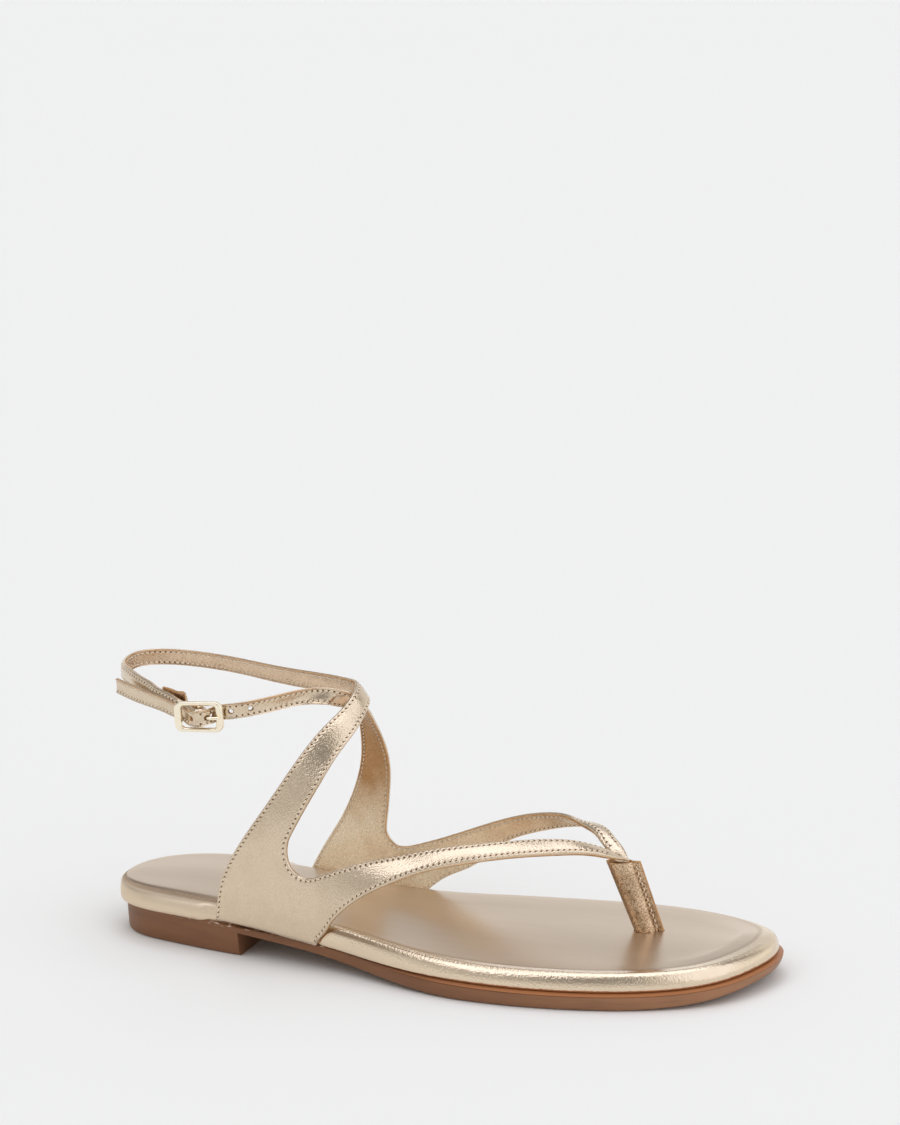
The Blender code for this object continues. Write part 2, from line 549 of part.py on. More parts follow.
def make_buckle_frame(collection, cutters, finish):
    """The frame with its window, and the centre bar across it."""
    forward, upward, outward = buckle_axes()
    curve = bpy.data.curves.new("buckle_frame", "CURVE")
    curve.dimensions = "2D"
    curve.fill_mode = "BOTH"
    curve.extrude = (FRAME_HALF - FRAME_ROUND) * MM
    curve.bevel_depth = FRAME_ROUND * MM
    curve.bevel_resolution = 1
    outer = rounded_rectangle([s - 2 * FRAME_ROUND for s in FRAME_SIZE], FRAME_RADIUS - FRAME_ROUND)
    window = rounded_rectangle([s + 2 * FRAME_ROUND for s in WINDOW_SIZE], WINDOW_RADIUS + FRAME_ROUND)
    for loop in (outer, window[::-1]):
        spline = curve.splines.new("POLY")
        spline.points.add(len(loop) - 1)
        for knot, (u, v) in zip(spline.points, loop):
            knot.co = (u * MM, v * MM, 0, 1)
        spline.use_cyclic_u = True
    frame = bpy.data.objects.new("buckle_frame", curve)
    placed = Matrix((forward, upward, outward)).transposed().to_4x4()
    placed.translation = BUCKLE_CENTRE * MM
    frame.matrix_world = placed
    collection.objects.link(frame)
    bpy.context.view_layer.update()
    frame = mesh_from_curve(frame, collection, finish)
    reach = (FRAME_SIZE[1] + WINDOW_SIZE[1]) / 4
    ends = [at_buckle(0, BAR_DEPTH, side * reach) for side in (-1, 1)]
    bar = add_tube("centre_bar", ends, BAR_RADIUS, cutters)
    boolean(frame, bar, "UNION", cutters)
    return frame


def prong_path():
    """The pin's centre line: most of a turn round the centre bar, then out through the billet."""
    wrap = BAR_RADIUS + GAP + PIN_RADIUS
    turns = np.radians(np.linspace(*PIN_WRAP, PIN_WRAP_STEPS + 1))
    eye = [(wrap * cos(a), BAR_DEPTH + wrap * sin(a)) for a in turns]
    return [at_buckle(along, out, 0) for along, out in (*eye, *PRONG)]


def make_buckle_pin(collection, finish):
    return add_tube("buckle_pin", prong_path(), PIN_RADIUS, collection, finish)


# ---------------------------------------------------------------- upper
def tongue_ribs(side):
    """The end of a thong strap, down in the toe post's tube; side is 1 for the medial strap, else -1."""
    return [
        Rib(*at_post(level, TONGUE_EDGES[0], side * TONGUE_SHIFT),
            *at_post(level, TONGUE_EDGES[1], side * TONGUE_SHIFT), TONGUE_WALL)
        for level in TONGUE_LEVELS
    ]


def ribbon(name, ribs, side, collection, finish):
    """Loft a leather ribbon through its ribs; side is 1 where slot to rim turns right-handed, else -1."""
    rows = np.array(ribs, float)
    knots = chord((rows[:, 0:3] + rows[:, 3:6]) / 2)
    at = [0.0]
    for start, end in zip(knots, knots[1:]):
        at += list(np.linspace(start, end, max(RIB_STEPS, int((end - start) // RIB_REACH) + 1) + 1)[1:])
    rows = cubic(knots, rows, np.array(at))
    stations = len(rows)
    slot, rim, wall = rows[:, 0:3], rows[:, 3:6], rows[:, 6:7]
    across = rim - slot
    width = np.linalg.norm(across, axis=1)[:, None]
    along = np.gradient((slot + rim) / 2, axis=0)
    normal = np.cross(along, across) * side
    normal /= np.linalg.norm(normal, axis=1)[:, None]
    half, edge = normal * wall / 2, EDGE_STEP / width
    rings = np.stack([slot + across * (c.share + c.edge * edge) + half * c.lift for c in SECTION], axis=1)
    count = len(SECTION)
    faces = band_faces(count, stations)
    faces += [range(count), range((stations - 1) * count, stations * count)]
    return add_mesh(name, rings.reshape(-1, 3), faces, collection, finish)


def make_upper(collection, cutters, finish):
    """Both ribbons, joined where they cross and in the toe post, with the pin's way and the holes cut."""
    back_strap = weave_ribs((*BACK_STRAP, *fold_weaves(), *FOLDED_END), slot_is_top=False)
    lateral = [*tongue_ribs(-1), *LATERAL_RIBS, *back_strap]
    medial = [*tongue_ribs(1), *MEDIAL_RIBS, *weave_ribs(BILLET, slot_is_top=True)]
    upper = ribbon("upper", lateral, 1, collection, finish)
    crossing = ribbon("medial_ribbon", medial, -1, cutters, finish)
    boolean(upper, crossing, "UNION", cutters)
    way = add_tube("pin_way", prong_path(), PIN_RADIUS + PIN_CLEARANCE, cutters)
    boolean(upper, way, "DIFFERENCE", cutters)
    for number in range(HOLES):
        punch = add_tube(f"punch_{number}", punch_ends(number), HOLE_RADIUS, cutters)
        boolean(upper, punch, "DIFFERENCE", cutters)
    return upper


def punch_ends(number):
    """The two ends of one punch through the billet, square to it."""
    ribs = [*MEDIAL_RIBS[-3:], *weave_ribs(BILLET, slot_is_top=True)]
    rows = np.array([rib[:6] for rib in reversed(ribs)])
    middle = (rows[:, 0:3] + rows[:, 3:6]) / 2
    forward = np.array(buckle_axes()[0])
    distance = (middle - np.array(BUCKLE_CENTRE)) @ forward
    here, ahead = cubic(distance, middle, FIRST_HOLE + HOLE_PITCH * number + np.array([0, 0.1]))
    through = Vector(ahead - here).cross(Vector((0, 0, 1))).normalized() * PUNCH_REACH
    return [Vector(here) - through, Vector(here) + through]


def centre_over_origin():
    """Move every object so that the middle of the shoe's box stands over the origin."""
    bpy.context.view_layer.update()
    for thing in bpy.data.objects:
        thing.matrix_world = Matrix.Translation(-MIDDLE * MM) @ thing.matrix_world


def main():
    for thing in list(bpy.data.objects):
        bpy.data.objects.remove(thing)
    sandal = bpy.data.collections.new(NAME)
    cutters = bpy.data.collections.new("cutters")
    for collection in (sandal, cutters):
        bpy.context.scene.collection.children.link(collection)
    rubber = material("brown_rubber", (0.20, 0.095, 0.048), 0.45)
    wrap = material("footbed_leather", (0.62, 0.50, 0.38), 0.42, 0.5)
    leather = material("gold_leather", (0.66, 0.54, 0.38), 0.34, 0.8)
    metal = material("pale_gold", (0.86, 0.76, 0.56), 0.18, 1.0)
    make_outsole(sandal, rubber)
    make_footbed(sandal, cutters, wrap)
    make_upper(sandal, cutters, leather)
    make_toe_post(sandal, cutters, leather)
    make_buckle_frame(sandal, cutters, metal)
    make_buckle_pin(sandal, metal)
    centre_over_origin()


if __name__ == "__main__":
    main()
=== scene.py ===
"""Toe post sandal for the right foot: leather, sole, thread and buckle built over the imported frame.

The sizes are in millimetres, x from the heel to the toe, y to the medial side and z up, and the floor
is z = 0. `to_row` turns them into the frame's metres, whose origin is under the middle of the shoe.
"""

import logging
import math
from collections.abc import Sequence
from dataclasses import dataclass, field
from enum import Enum
from typing import Any, NamedTuple

import bmesh
import bpy
import numpy as np
from mathutils import Matrix, Vector


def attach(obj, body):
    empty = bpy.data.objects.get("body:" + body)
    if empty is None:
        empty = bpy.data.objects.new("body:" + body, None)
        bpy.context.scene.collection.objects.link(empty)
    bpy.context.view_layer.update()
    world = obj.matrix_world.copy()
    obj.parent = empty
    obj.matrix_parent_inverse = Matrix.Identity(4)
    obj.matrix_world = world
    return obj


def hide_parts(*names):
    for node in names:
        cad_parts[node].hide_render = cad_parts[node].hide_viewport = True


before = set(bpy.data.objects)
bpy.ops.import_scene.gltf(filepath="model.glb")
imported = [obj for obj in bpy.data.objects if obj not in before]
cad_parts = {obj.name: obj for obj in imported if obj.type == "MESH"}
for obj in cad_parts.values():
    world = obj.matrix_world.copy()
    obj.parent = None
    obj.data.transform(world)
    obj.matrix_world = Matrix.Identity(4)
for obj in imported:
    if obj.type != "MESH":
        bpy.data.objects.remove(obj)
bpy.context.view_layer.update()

LOG = logging.getLogger("sandal")
MM = 0.001
MIDDLE = np.array((126.15, -2.28, 0.0))     # of the shoe's box, in the tables' millimetres
GAP = 0.3                                   # between neighbouring pieces
Color = tuple[float, float, float]


def to_row(points: np.ndarray) -> np.ndarray:
    """Millimetres of the tables to metres of the frame."""
    return (np.asarray(points, float) - MIDDLE) * MM


# ---------------------------------------------------------------- curves
def cubic(knots: Any, values: Any, at: Any, closed: bool = False) -> np.ndarray:
    """Read the natural, or the closed, cubic spline through values at knots.

    Args:
        knots: Rising distances along the curve.
        values: One row of numbers for each knot.
        at: Distances at which the curve is read.
        closed: Whether the last knot meets the first smoothly.

    Returns:
        One row of numbers for each distance in at.
    """
    knots, values = np.asarray(knots, float), np.asarray(values, float)
    count, step = len(knots), np.diff(knots)
    slope = np.diff(values, axis=0) / step[:, None]
    system, target = np.zeros((count, count)), np.zeros_like(values)
    for i in range(1, count - 1):
        system[i, i - 1:i + 2] = step[i - 1], 2 * (step[i - 1] + step[i]), step[i]
        target[i] = 6 * (slope[i] - slope[i - 1])
    if closed:
        system[0, 0], system[0, -1] = 1, -1
        system[-1, [-2, 0, 1]] = step[-1], 2 * (step[-1] + step[0]), step[0]
        target[-1] = 6 * (slope[0] - slope[-1])
    else:
        system[0, 0] = system[-1, -1] = 1
    bend = np.linalg.solve(system, target)
    at = np.clip(at, knots[0], knots[-1])
    i = np.clip(np.searchsorted(knots, at) - 1, 0, count - 2)
    right = ((at - knots[i]) / step[i])[:, None]
    left = 1 - right
    curved = (left ** 3 - left) * bend[i] + (right ** 3 - right) * bend[i + 1]
    return left * values[i] + right * values[i + 1] + curved * (step[i] ** 2 / 6)[:, None]


def chord(points: np.ndarray) -> np.ndarray:
    """Distances along a run of points, from 0."""
    return np.concatenate([[0], np.cumsum(np.linalg.norm(np.diff(points, axis=0), axis=1))])


def smooth_curve(points: Any, count: int) -> np.ndarray:
    """Spread count points evenly along the cubic curve through a few points.

    Args:
        points: The few points, one row each.
        count: How many points to spread.

    Returns:
        The points along the curve, one row each.
    """
    points = np.asarray(points, float)
    knots = chord(points)
    return cubic(knots, points, np.linspace(0, knots[-1], count))


def ramp(x: Any, start: float, end: float) -> np.ndarray:
    """A smooth step from 0 at start to 1 at end."""
    t = np.clip((np.asarray(x, float) - start) / (end - start), 0, 1)
    return t * t * (3 - 2 * t)


def unit(vectors: np.ndarray) -> np.ndarray:
    """Vectors scaled to length 1."""
    return vectors / np.maximum(np.linalg.norm(vectors, axis=-1, keepdims=True), 1e-9)


# ---------------------------------------------------------------- shader nodes
class Noise(NamedTuple):
    """Soft noise: its features in a millimetre, its detail and roughness, and its stretch along each axis."""

    per_mm: float
    detail: float = 2.0
    rough: float = 0.5
    stretch: tuple[float, float, float] = (1.0, 1.0, 1.0)


@dataclass(frozen=True)
class Wire:
    """A socket that carries a number, a colour or a vector; arithmetic on numbers adds Math nodes."""

    board: "Board"
    socket: bpy.types.NodeSocket

    def __add__(self, other: "Wire | float") -> "Wire":
        """Sum."""
        return self.board.math("ADD", self, other)

    def __sub__(self, other: "Wire | float") -> "Wire":
        """Difference."""
        return self.board.math("SUBTRACT", self, other)

    def __rsub__(self, other: float) -> "Wire":
        """Difference from a plain number."""
        return self.board.math("SUBTRACT", other, self)

    def __mul__(self, other: "Wire | float") -> "Wire":
        """Product."""
        return self.board.math("MULTIPLY", self, other)

    def __truediv__(self, other: "Wire | float") -> "Wire":
        """Quotient."""
        return self.board.math("DIVIDE", self, other)

    __radd__ = __add__
    __rmul__ = __mul__


class Board:
    """A node tree that is filled by Python expressions."""

    def __init__(self, tree: bpy.types.NodeTree) -> None:
        """Take over a node tree and clear it."""
        self.tree = tree
        tree.nodes.clear()

    def add(self, kind: str, settings: dict[str, Any] | None = None,
            inputs: dict[str, Any] | None = None, output: str = "") -> Wire:
        """Add one node.

        Args:
            kind: The node's type.
            settings: Its properties, set before its sockets.
            inputs: Values or wires by the sockets' identifiers or names.
            output: Identifier or name of the output wanted; the first one, if there is any, when empty.

        Returns:
            The output wanted, as a wire.
        """
        node = self.tree.nodes.new(kind)
        for name, value in (settings or {}).items():
            setattr(node, name, value)
        for name, value in (inputs or {}).items():
            self.plug(self._find(node.inputs, name), value)
        if output:
            return Wire(self, self._find(node.outputs, output))
        return Wire(self, node.outputs[0] if node.outputs else None)

    @staticmethod
    def _find(sockets: Any, name: str) -> bpy.types.NodeSocket:
        """The socket with that identifier, or else that name.

        Args:
            sockets: A node's inputs or outputs.
            name: The identifier or the name.

        Returns:
            The socket.
        """
        for key in ("identifier", "name"):
            for socket in sockets:
                if getattr(socket, key) == name:
                    return socket
        raise KeyError(name)

    def plug(self, socket: bpy.types.NodeSocket, value: Any) -> None:
        """Link a wire to a socket, or set the socket's own value.

        Args:
            socket: An input of a node.
            value: A wire, or a number, a colour or a vector.
        """
        if isinstance(value, Wire):
            self.tree.links.new(value.socket, socket)
        elif socket.type == "RGBA":
            socket.default_value = (*value, 1)
        else:
            socket.default_value = value

    def math(self, operation: str, first: "Wire | float", second: "Wire | float" = 0.0) -> Wire:
        """Add a Math node on one or two numbers."""
        return self.add("ShaderNodeMath", {"operation": operation}, {"Value": first, "Value_001": second})

    def step(self, value: Wire, low: float, high: float) -> Wire:
        """A smooth step from 0 at low to 1 at high; low may be above high."""
        return self.add("ShaderNodeMapRange", {"interpolation_type": "SMOOTHSTEP"},
                        {"Value": value, "From Min": low, "From Max": high})

    def mix(self, factor: "Wire | float", first: Any, second: Any) -> Wire:
        """Mix two colours."""
        return self.add("ShaderNodeMix", {"data_type": "RGBA"},
                        {"Factor_Float": factor, "A_Color": first, "B_Color": second}, "Result_Color")

    def own(self, name: str) -> Wire:
        """A number stored on the mesh."""
        return self.add("ShaderNodeAttribute", {"attribute_name": name}, output="Fac")

    def height(self) -> Wire:
        """The height over the floor in millimetres."""
        spot = self.add("ShaderNodeTexCoord", output="Object")
        return self.add("ShaderNodeSeparateXYZ", {}, {"Vector": spot}, "Z") / MM

    def noise(self, kind: Noise) -> Wire:
        """Noise of a kind, between 0 and 1.

        Args:
            kind: Its scale, detail, roughness and stretch.

        Returns:
            The noise, as a wire.
        """
        spot = self.add("ShaderNodeTexCoord", output="Object")
        where = self.add("ShaderNodeVectorMath", {"operation": "MULTIPLY"},
                         {"Vector": spot, "Vector_001": kind.stretch})
        return self.add("ShaderNodeTexNoise", {}, {
            "Vector": where, "Scale": kind.per_mm / MM, "Detail": kind.detail, "Roughness": kind.rough})

    def bump(self, height: Wire, depth: float) -> Wire:
        """Turn a height, in steps of depth millimetres, into a bent normal."""
        return self.add("ShaderNodeBump", {}, {"Strength": 1.0, "Distance": depth * MM, "Height": height})


def surface(name: str) -> tuple[bpy.types.Material, Board]:
    """A new material and the board of its nodes.

    Args:
        name: The material's name.

    Returns:
        The material and its empty board.
    """
    material = bpy.data.materials.new(name)
    material.use_nodes = True
    return material, Board(material.node_tree)


def principled(board: Board, inputs: dict[str, Any]) -> None:
    """Close a board with a Principled shader."""
    shader = board.add("ShaderNodeBsdfPrincipled", {}, inputs)
    board.add("ShaderNodeOutputMaterial", {}, {"Surface": shader})


# ---------------------------------------------------------------- finishes
# A band says where a smooth step starts and where it ends; a share, how much of a colour is mixed in.
@dataclass(frozen=True)
class Seam:
    """A line of lock stitches along an edge, in millimetres."""

    inset: float = 1.15
    pitch: float = 2.05
    hole: float = 0.28
    hole_rim: tuple[float, float] = (1.4, 0.7)      # shares of the hole's radius
    trough: float = 0.13
    trough_width: float = 0.26
    swell: float = 0.5
    swell_band: tuple[float, float] = (1.3, 0.1)

    def holes(self, board: Board) -> Wire:
        """Where the needle went through: 1 in a hole, 0 elsewhere.

        Args:
            board: The leather's nodes.

        Returns:
            The mask, as a wire.
        """
        run, off = board.own("run"), board.own("off")
        phase = board.math("FRACT", run / self.pitch)
        along = (phase - 0.5) * self.pitch
        reach = board.math("SQRT", along * along + off * off)
        return board.step(reach, *(self.hole * share for share in self.hole_rim))

    def pucker(self, board: Board) -> Wire:
        """How the leather swells between the stitches, fading away from the seam.

        Args:
            board: The leather's nodes.

        Returns:
            The height, as a wire.
        """
        run, off = board.own("run"), board.own("off")
        wave = board.math("COSINE", run * (2 * math.pi / self.pitch))
        near = board.step(board.math("ABSOLUTE", off), *self.swell_band)
        return wave * near * self.swell


SEAM = Seam()
OFF_SEAM = 9.0                              # stored as the distance to a seam where none is near


@dataclass(frozen=True)
class FoilLeather:
    """Metallic foil leather: crinkled grain over soft waves, open pores, and needle holes along its seams, with
    painted shade in and round the holes.
    """

    name: str = "gold_leather"
    light: Color = (0.75, 0.615, 0.455)
    deep: Color = (0.56, 0.435, 0.30)
    # painted shade: the dark colour inside and round the needle holes
    hole: Color = (0.20, 0.075, 0.02)
    roughness: float = 0.10
    metallic: float = 0.95
    grain_depth: float = 0.13
    undulation: float = 2.6
    speckle: float = 0.45
    coat: float = 0.25
    coat_roughness: float = 0.12
    # painted shade: over this band of heights the leather is darkened towards deep
    painted_shade_above: tuple[float, float] | None = None     # a band of heights
    crinkle: Noise = Noise(1.7, 1.2)
    pores: Noise = Noise(3.57, 1.0)
    pore_band: tuple[float, float] = (0.58, 0.36)
    waves: Noise = Noise(0.07, 1.0)
    patches: Noise = Noise(0.09)
    patch_band: tuple[float, float] = (0.4, 0.75)
    patch_share: float = 0.3
    dulling: Noise = Noise(0.6)
    dullness: float = 0.08
    # how far the holes' painted shade spreads round each hole
    hole_shade_band: tuple[float, float] = (0.0, 0.45)
    hole_dullness: float = 0.4
    hole_depth: float = 1.1

    def make(self) -> bpy.types.Material:
        """Build the material.

        Returns:
            The material.
        """
        material, board = surface(self.name)
        crinkle = board.noise(self.crinkle)
        waves = board.noise(self.waves) * self.undulation
        shade = board.step(board.noise(self.patches), *self.patch_band) * self.patch_share
        # painted shade, darker higher up
        if self.painted_shade_above:
            shade = shade + board.step(board.height(), *self.painted_shade_above)
        pores = crinkle * 0.5 + board.noise(self.pores) * 0.5
        tone = board.mix(shade, self.light, self.deep)
        tone = board.mix(board.step(pores, *self.pore_band) * self.speckle, tone, self.deep)
        holes = SEAM.holes(board)
        height = crinkle + waves + SEAM.pucker(board) - holes * self.hole_depth
        principled(board, {
            # the needle holes and a rim round them are painted dark as shade
            "Base Color": board.mix(board.step(holes, *self.hole_shade_band), tone, self.hole),
            "Metallic": self.metallic,
            "Roughness": self.roughness + board.noise(self.dulling) * self.dullness + holes * self.hole_dullness,
            "Coat Weight": (1 - holes) * self.coat, "Coat Roughness": self.coat_roughness,
            "Normal": board.bump(height, self.grain_depth)})
        return material


POST_LEATHER = FoilLeather("post_leather", (0.76, 0.56, 0.37), (0.22, 0.12, 0.055), roughness=0.12,
                           grain_depth=0.17, undulation=2.2, speckle=0.85, coat=0.1)
BACKING = FoilLeather("backing_leather", (0.74, 0.56, 0.39), (0.42, 0.28, 0.165), grain_depth=0.2, speckle=0.6)
# The lining has painted shade higher up; its light tone low down stands in for the pale floor's reflection.
LINING = FoilLeather("lining", (1.0, 0.88, 0.66), (0.50, 0.30, 0.14), roughness=0.24, metallic=0.5,
                     grain_depth=0.17, undulation=1.8, speckle=0.3, coat=0.0, painted_shade_above=(27.0, 66.0))


@dataclass(frozen=True)
class RawLeather:
    """Cut leather: orange tan, matt and fibrous."""

    name: str = "raw_edge"
    light: Color = (0.60, 0.33, 0.13)
    deep: Color = (0.36, 0.17, 0.06)
    fibre: Noise = Noise(3.0, 4.0, 0.7)
    blotches: Noise = Noise(0.35, 3.0)
    blotch_share: float = 0.6
    tone_band: tuple[float, float] = (0.35, 0.65)
    roughness: tuple[float, float] = (0.7, 0.2)     # least, and what the fibres add
    depth: float = 0.06

    def make(self) -> bpy.types.Material:
        """Build the material.

        Returns:
            The material.
        """
        material, board = surface(self.name)
        fibre = board.noise(self.fibre)
        blotches = board.noise(self.blotches) * self.blotch_share + fibre * (1 - self.blotch_share)
        least, added = self.roughness
        principled(board, {
            "Base Color": board.mix(board.step(blotches, *self.tone_band), self.light, self.deep),
            "Roughness": least + fibre * added, "Normal": board.bump(fibre, self.depth)})
        return material


@dataclass(frozen=True)
class FootbedLeather:
    """Satin champagne leather drawn over the footbed, with painted shade in the crease inside its rim and in its
    gathers.

    The mesh stores how far in a point lies ("off"), its way round ("run"), how gathered the leather is
    there ("gather") and how deep the fold behind the waist's ridge shades it ("shade").
    """

    name: str = "footbed_leather"
    top: Color = (0.735, 0.603, 0.473)
    rim: Color = (0.78, 0.64, 0.475)
    # painted shade of the crease, the gathers and the waist's fold; a little of it also goes into random streaks
    crease: Color = (0.26, 0.15, 0.075)
    roughness: float = 0.29
    rim_polish: float = 0.17
    gather_dullness: float = 0.34
    metallic: float = 0.97
    crease_at: float = 6.9
    rim_band: tuple[float, float] = (0.5, -0.8)     # about the crease
    streaks: Noise = Noise(0.5, 3.0, 0.6, (0.1, 1.0, 1.0))
    streak_band: tuple[float, float] = (0.4, 0.8)
    streak_share: float = 0.06
    # the crease's painted shade: where it lies, how wide and how strong it is, and how much of it needs the
    # leather gathered
    crease_shade_at: float = 0.6                            # inside the crease
    crease_shade_band: tuple[float, float] = (1.5, 0.3)
    crease_shade_share: float = 0.42
    crease_shade_gathered: float = 0.4
    shade_share: float = 0.75
    gather: float = 0.9
    jitter: Noise = Noise(0.4)
    jitter_share: float = 12.0
    gather_start: tuple[float, float] = (1.6, 4.4)
    gather_end: tuple[float, float] = (0.2, -0.3)   # about the crease
    # painted shade in the pleats of the gathers
    gather_shade: tuple[float, float] = (0.6, 0.25)  # its middle, and what a wave adds or takes
    gather_height: float = 0.7
    grain: Noise = Noise(1.5, 1.5)
    grain_height: tuple[float, float] = (0.03, 0.7)     # on the top, and what the rim adds
    depth: float = 0.16

    def make(self) -> bpy.types.Material:
        """Build the material.

        Returns:
            The material.
        """
        material, board = surface(self.name)
        inset, run, gathered = board.own("off"), board.own("run"), board.own("gather")
        on_rim = board.step(inset, *(self.crease_at + shift for shift in self.rim_band))
        tone = board.mix(on_rim, self.top, self.rim)
        streaks = board.step(board.noise(self.streaks), *self.streak_band)
        tone = board.mix(streaks * self.streak_share, tone, self.crease)
        wave = board.math("SINE", run * (2 * math.pi / self.gather) + board.noise(self.jitter) * self.jitter_share)
        puckers = (board.step(inset, *self.gather_start)
                   * board.step(inset, *(self.crease_at + shift for shift in self.gather_end)) * gathered)
        # painted shade of the fold behind the waist's ridge
        tone = board.mix(board.own("shade") * self.shade_share, tone, self.crease)
        # painted shade along the crease and in the pleats of the gathers
        line = board.step(board.math("ABSOLUTE", inset - self.crease_at - self.crease_shade_at), *self.crease_shade_band)
        line = line * (gathered * self.crease_shade_gathered + (1 - self.crease_shade_gathered))
        middle, swing = self.gather_shade
        tone = board.mix(line * self.crease_shade_share + puckers * (wave * swing + middle), tone, self.crease)
        least, added = self.grain_height
        height = board.noise(self.grain) * (on_rim * added + least) + wave * puckers * self.gather_height
        principled(board, {
            "Base Color": tone, "Metallic": self.metallic,
            "Roughness": self.roughness - on_rim * self.rim_polish + gathered * on_rim * self.gather_dullness,
            "Normal": board.bump(height, self.depth)})
        return material


@dataclass(frozen=True)
class Rubber:
    """Brown moulded rubber with a painted sheen that makes it paler towards the toe, and more orange on its upper
    ledge.

    The mesh stores a point's share of the unit's height ("off") and its distance from the heel ("run").
    """

    name: str = "outsole_rubber"
    body: Color = (0.225, 0.098, 0.043)
    # painted reflection: the glossy toe's sheen of the pale floor, mixed in towards the toe
    pale: Color = (0.42, 0.21, 0.108)
    ledge: Color = (0.43, 0.16, 0.055)
    dirt: Color = (0.10, 0.045, 0.024)
    glue: Color = (0.62, 0.47, 0.36)
    toe_sheen_band: tuple[float, float] = (120.0, 250.0)
    toe_sheen_share: float = 0.75
    streaks: Noise = Noise(0.25, 3.0, 0.55, (0.15, 0.15, 1.0))
    dirt_band: tuple[float, float] = (0.35, 0.8)
    dirt_share: float = 0.35
    ledge_rise: tuple[float, float] = (0.895, 0.925)
    ledge_band: tuple[float, float] = (105.0, 185.0)
    ledge_share: float = 0.85
    joint_rise: tuple[float, float] = (0.90, 0.97)
    joint_start: tuple[float, float] = (20.0, 45.0)
    joint_end: tuple[float, float] = (112.0, 95.0)
    specks: Noise = Noise(0.8, 3.0, 0.6, (0.5, 0.5, 2.0))
    speck_band: tuple[float, float] = (0.56, 0.66)
    grain: Noise = Noise(1.2, 4.0, 0.6)
    roughness: tuple[float, float] = (0.36, 0.16)   # least, and what the grain adds
    ledge_polish: float = 0.1
    specular: float = 0.3
    depth: float = 0.03

    def make(self) -> bpy.types.Material:
        """Build the material.

        Returns:
            The material.
        """
        material, board = surface(self.name)
        rise, along = board.own("off"), board.own("run")
        grain = board.noise(self.grain)
        # painted reflection: paler towards the toe
        tone = board.mix(board.step(along, *self.toe_sheen_band) * self.toe_sheen_share, self.body, self.pale)
        streaks = board.step(board.noise(self.streaks), *self.dirt_band)
        tone = board.mix(streaks * self.dirt_share, tone, self.dirt)
        top = board.step(rise, *self.ledge_rise) * board.step(along, *self.ledge_band)
        tone = board.mix(top * self.ledge_share, tone, self.ledge)
        joint = (board.step(rise, *self.joint_rise) * board.step(along, *self.joint_end)
                 * board.step(along, *self.joint_start))
        specks = board.step(board.noise(self.specks), *self.speck_band)
        tone = board.mix(specks * joint, tone, self.glue)
        least, added = self.roughness
        principled(board, {
            "Base Color": tone, "Roughness": least + grain * added - top * self.ledge_polish,
            "Specular IOR Level": self.specular, "Normal": board.bump(grain, self.depth)})
        return material


@dataclass(frozen=True)
class Thread:
    """Twisted polyester thread."""

    name: str = "thread"
    light: Color = (0.95, 0.84, 0.67)
    deep: Color = (0.72, 0.57, 0.39)
    deep_share: float = 0.6
    ply: float = 14.0                               # radians of the twist's wave in a millimetre
    metallic: float = 0.5
    roughness: tuple[float, float] = (0.4, 0.1)     # least, and what the twist adds
    depth: float = 0.04

    def make(self) -> bpy.types.Material:
        """Build the material.

        Returns:
            The material.
        """
        material, board = surface(self.name)
        twist = board.math("SINE", board.own("run") * self.ply) * 0.5 + 0.5
        least, added = self.roughness
        principled(board, {
            "Base Color": board.mix(twist * self.deep_share, self.light, self.deep), "Metallic": self.metallic,
            "Roughness": least + twist * added, "Normal": board.bump(twist, self.depth)})
        return material


@dataclass(frozen=True)
class PalePlating:
    """Polished pale gold plating."""

    name: str = "pale_gold"
    tone: Color = (0.99, 0.90, 0.72)
    worn: Color = (0.92, 0.79, 0.57)
    haze: Noise = Noise(0.5, 4.0, 0.6)
    worn_band: tuple[float, float] = (0.4, 0.75)
    worn_share: float = 0.6
    ripple: Noise = Noise(1.0)
    roughness: tuple[float, float] = (0.12, 0.12)   # least, and what the haze adds
    depth: float = 0.008

    def make(self) -> bpy.types.Material:
        """Build the material.

        Returns:
            The material.
        """
        material, board = surface(self.name)
        haze = board.noise(self.haze)
        least, added = self.roughness
        principled(board, {
            "Base Color": board.mix(board.step(haze, *self.worn_band) * self.worn_share, self.tone, self.worn),
            "Metallic": 1.0, "Roughness": least + haze * added,
            "Normal": board.bump(board.noise(self.ripple), self.depth)})
        return material


class Face(Enum):
    """The faces of a strap, in the order of its material slots."""

    OUTER = 0
    LINING = 1
    EDGE = 2
    BACKING = 3


# ---------------------------------------------------------------- meshes
def add_object(name: str, mesh: bpy.types.Mesh, materials: Sequence[bpy.types.Material],
               replaces: Sequence[str] = ()) -> bpy.types.Object:
    """Put a finished mesh in the scene as a piece of the sandal.

    Args:
        name: The piece's name.
        mesh: Its mesh, in the frame's metres.
        materials: Its materials, in the order of the faces' indices.
        replaces: The CAD nodes that it stands for.

    Returns:
        The piece.
    """
    piece = bpy.data.objects.new(name, mesh)
    bpy.context.scene.collection.objects.link(piece)
    for material in materials:
        mesh.materials.append(material)
    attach(piece, "root")
    if replaces:
        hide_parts(*replaces)
    LOG.info("%s: %d faces", name, len(mesh.polygons))
    return piece


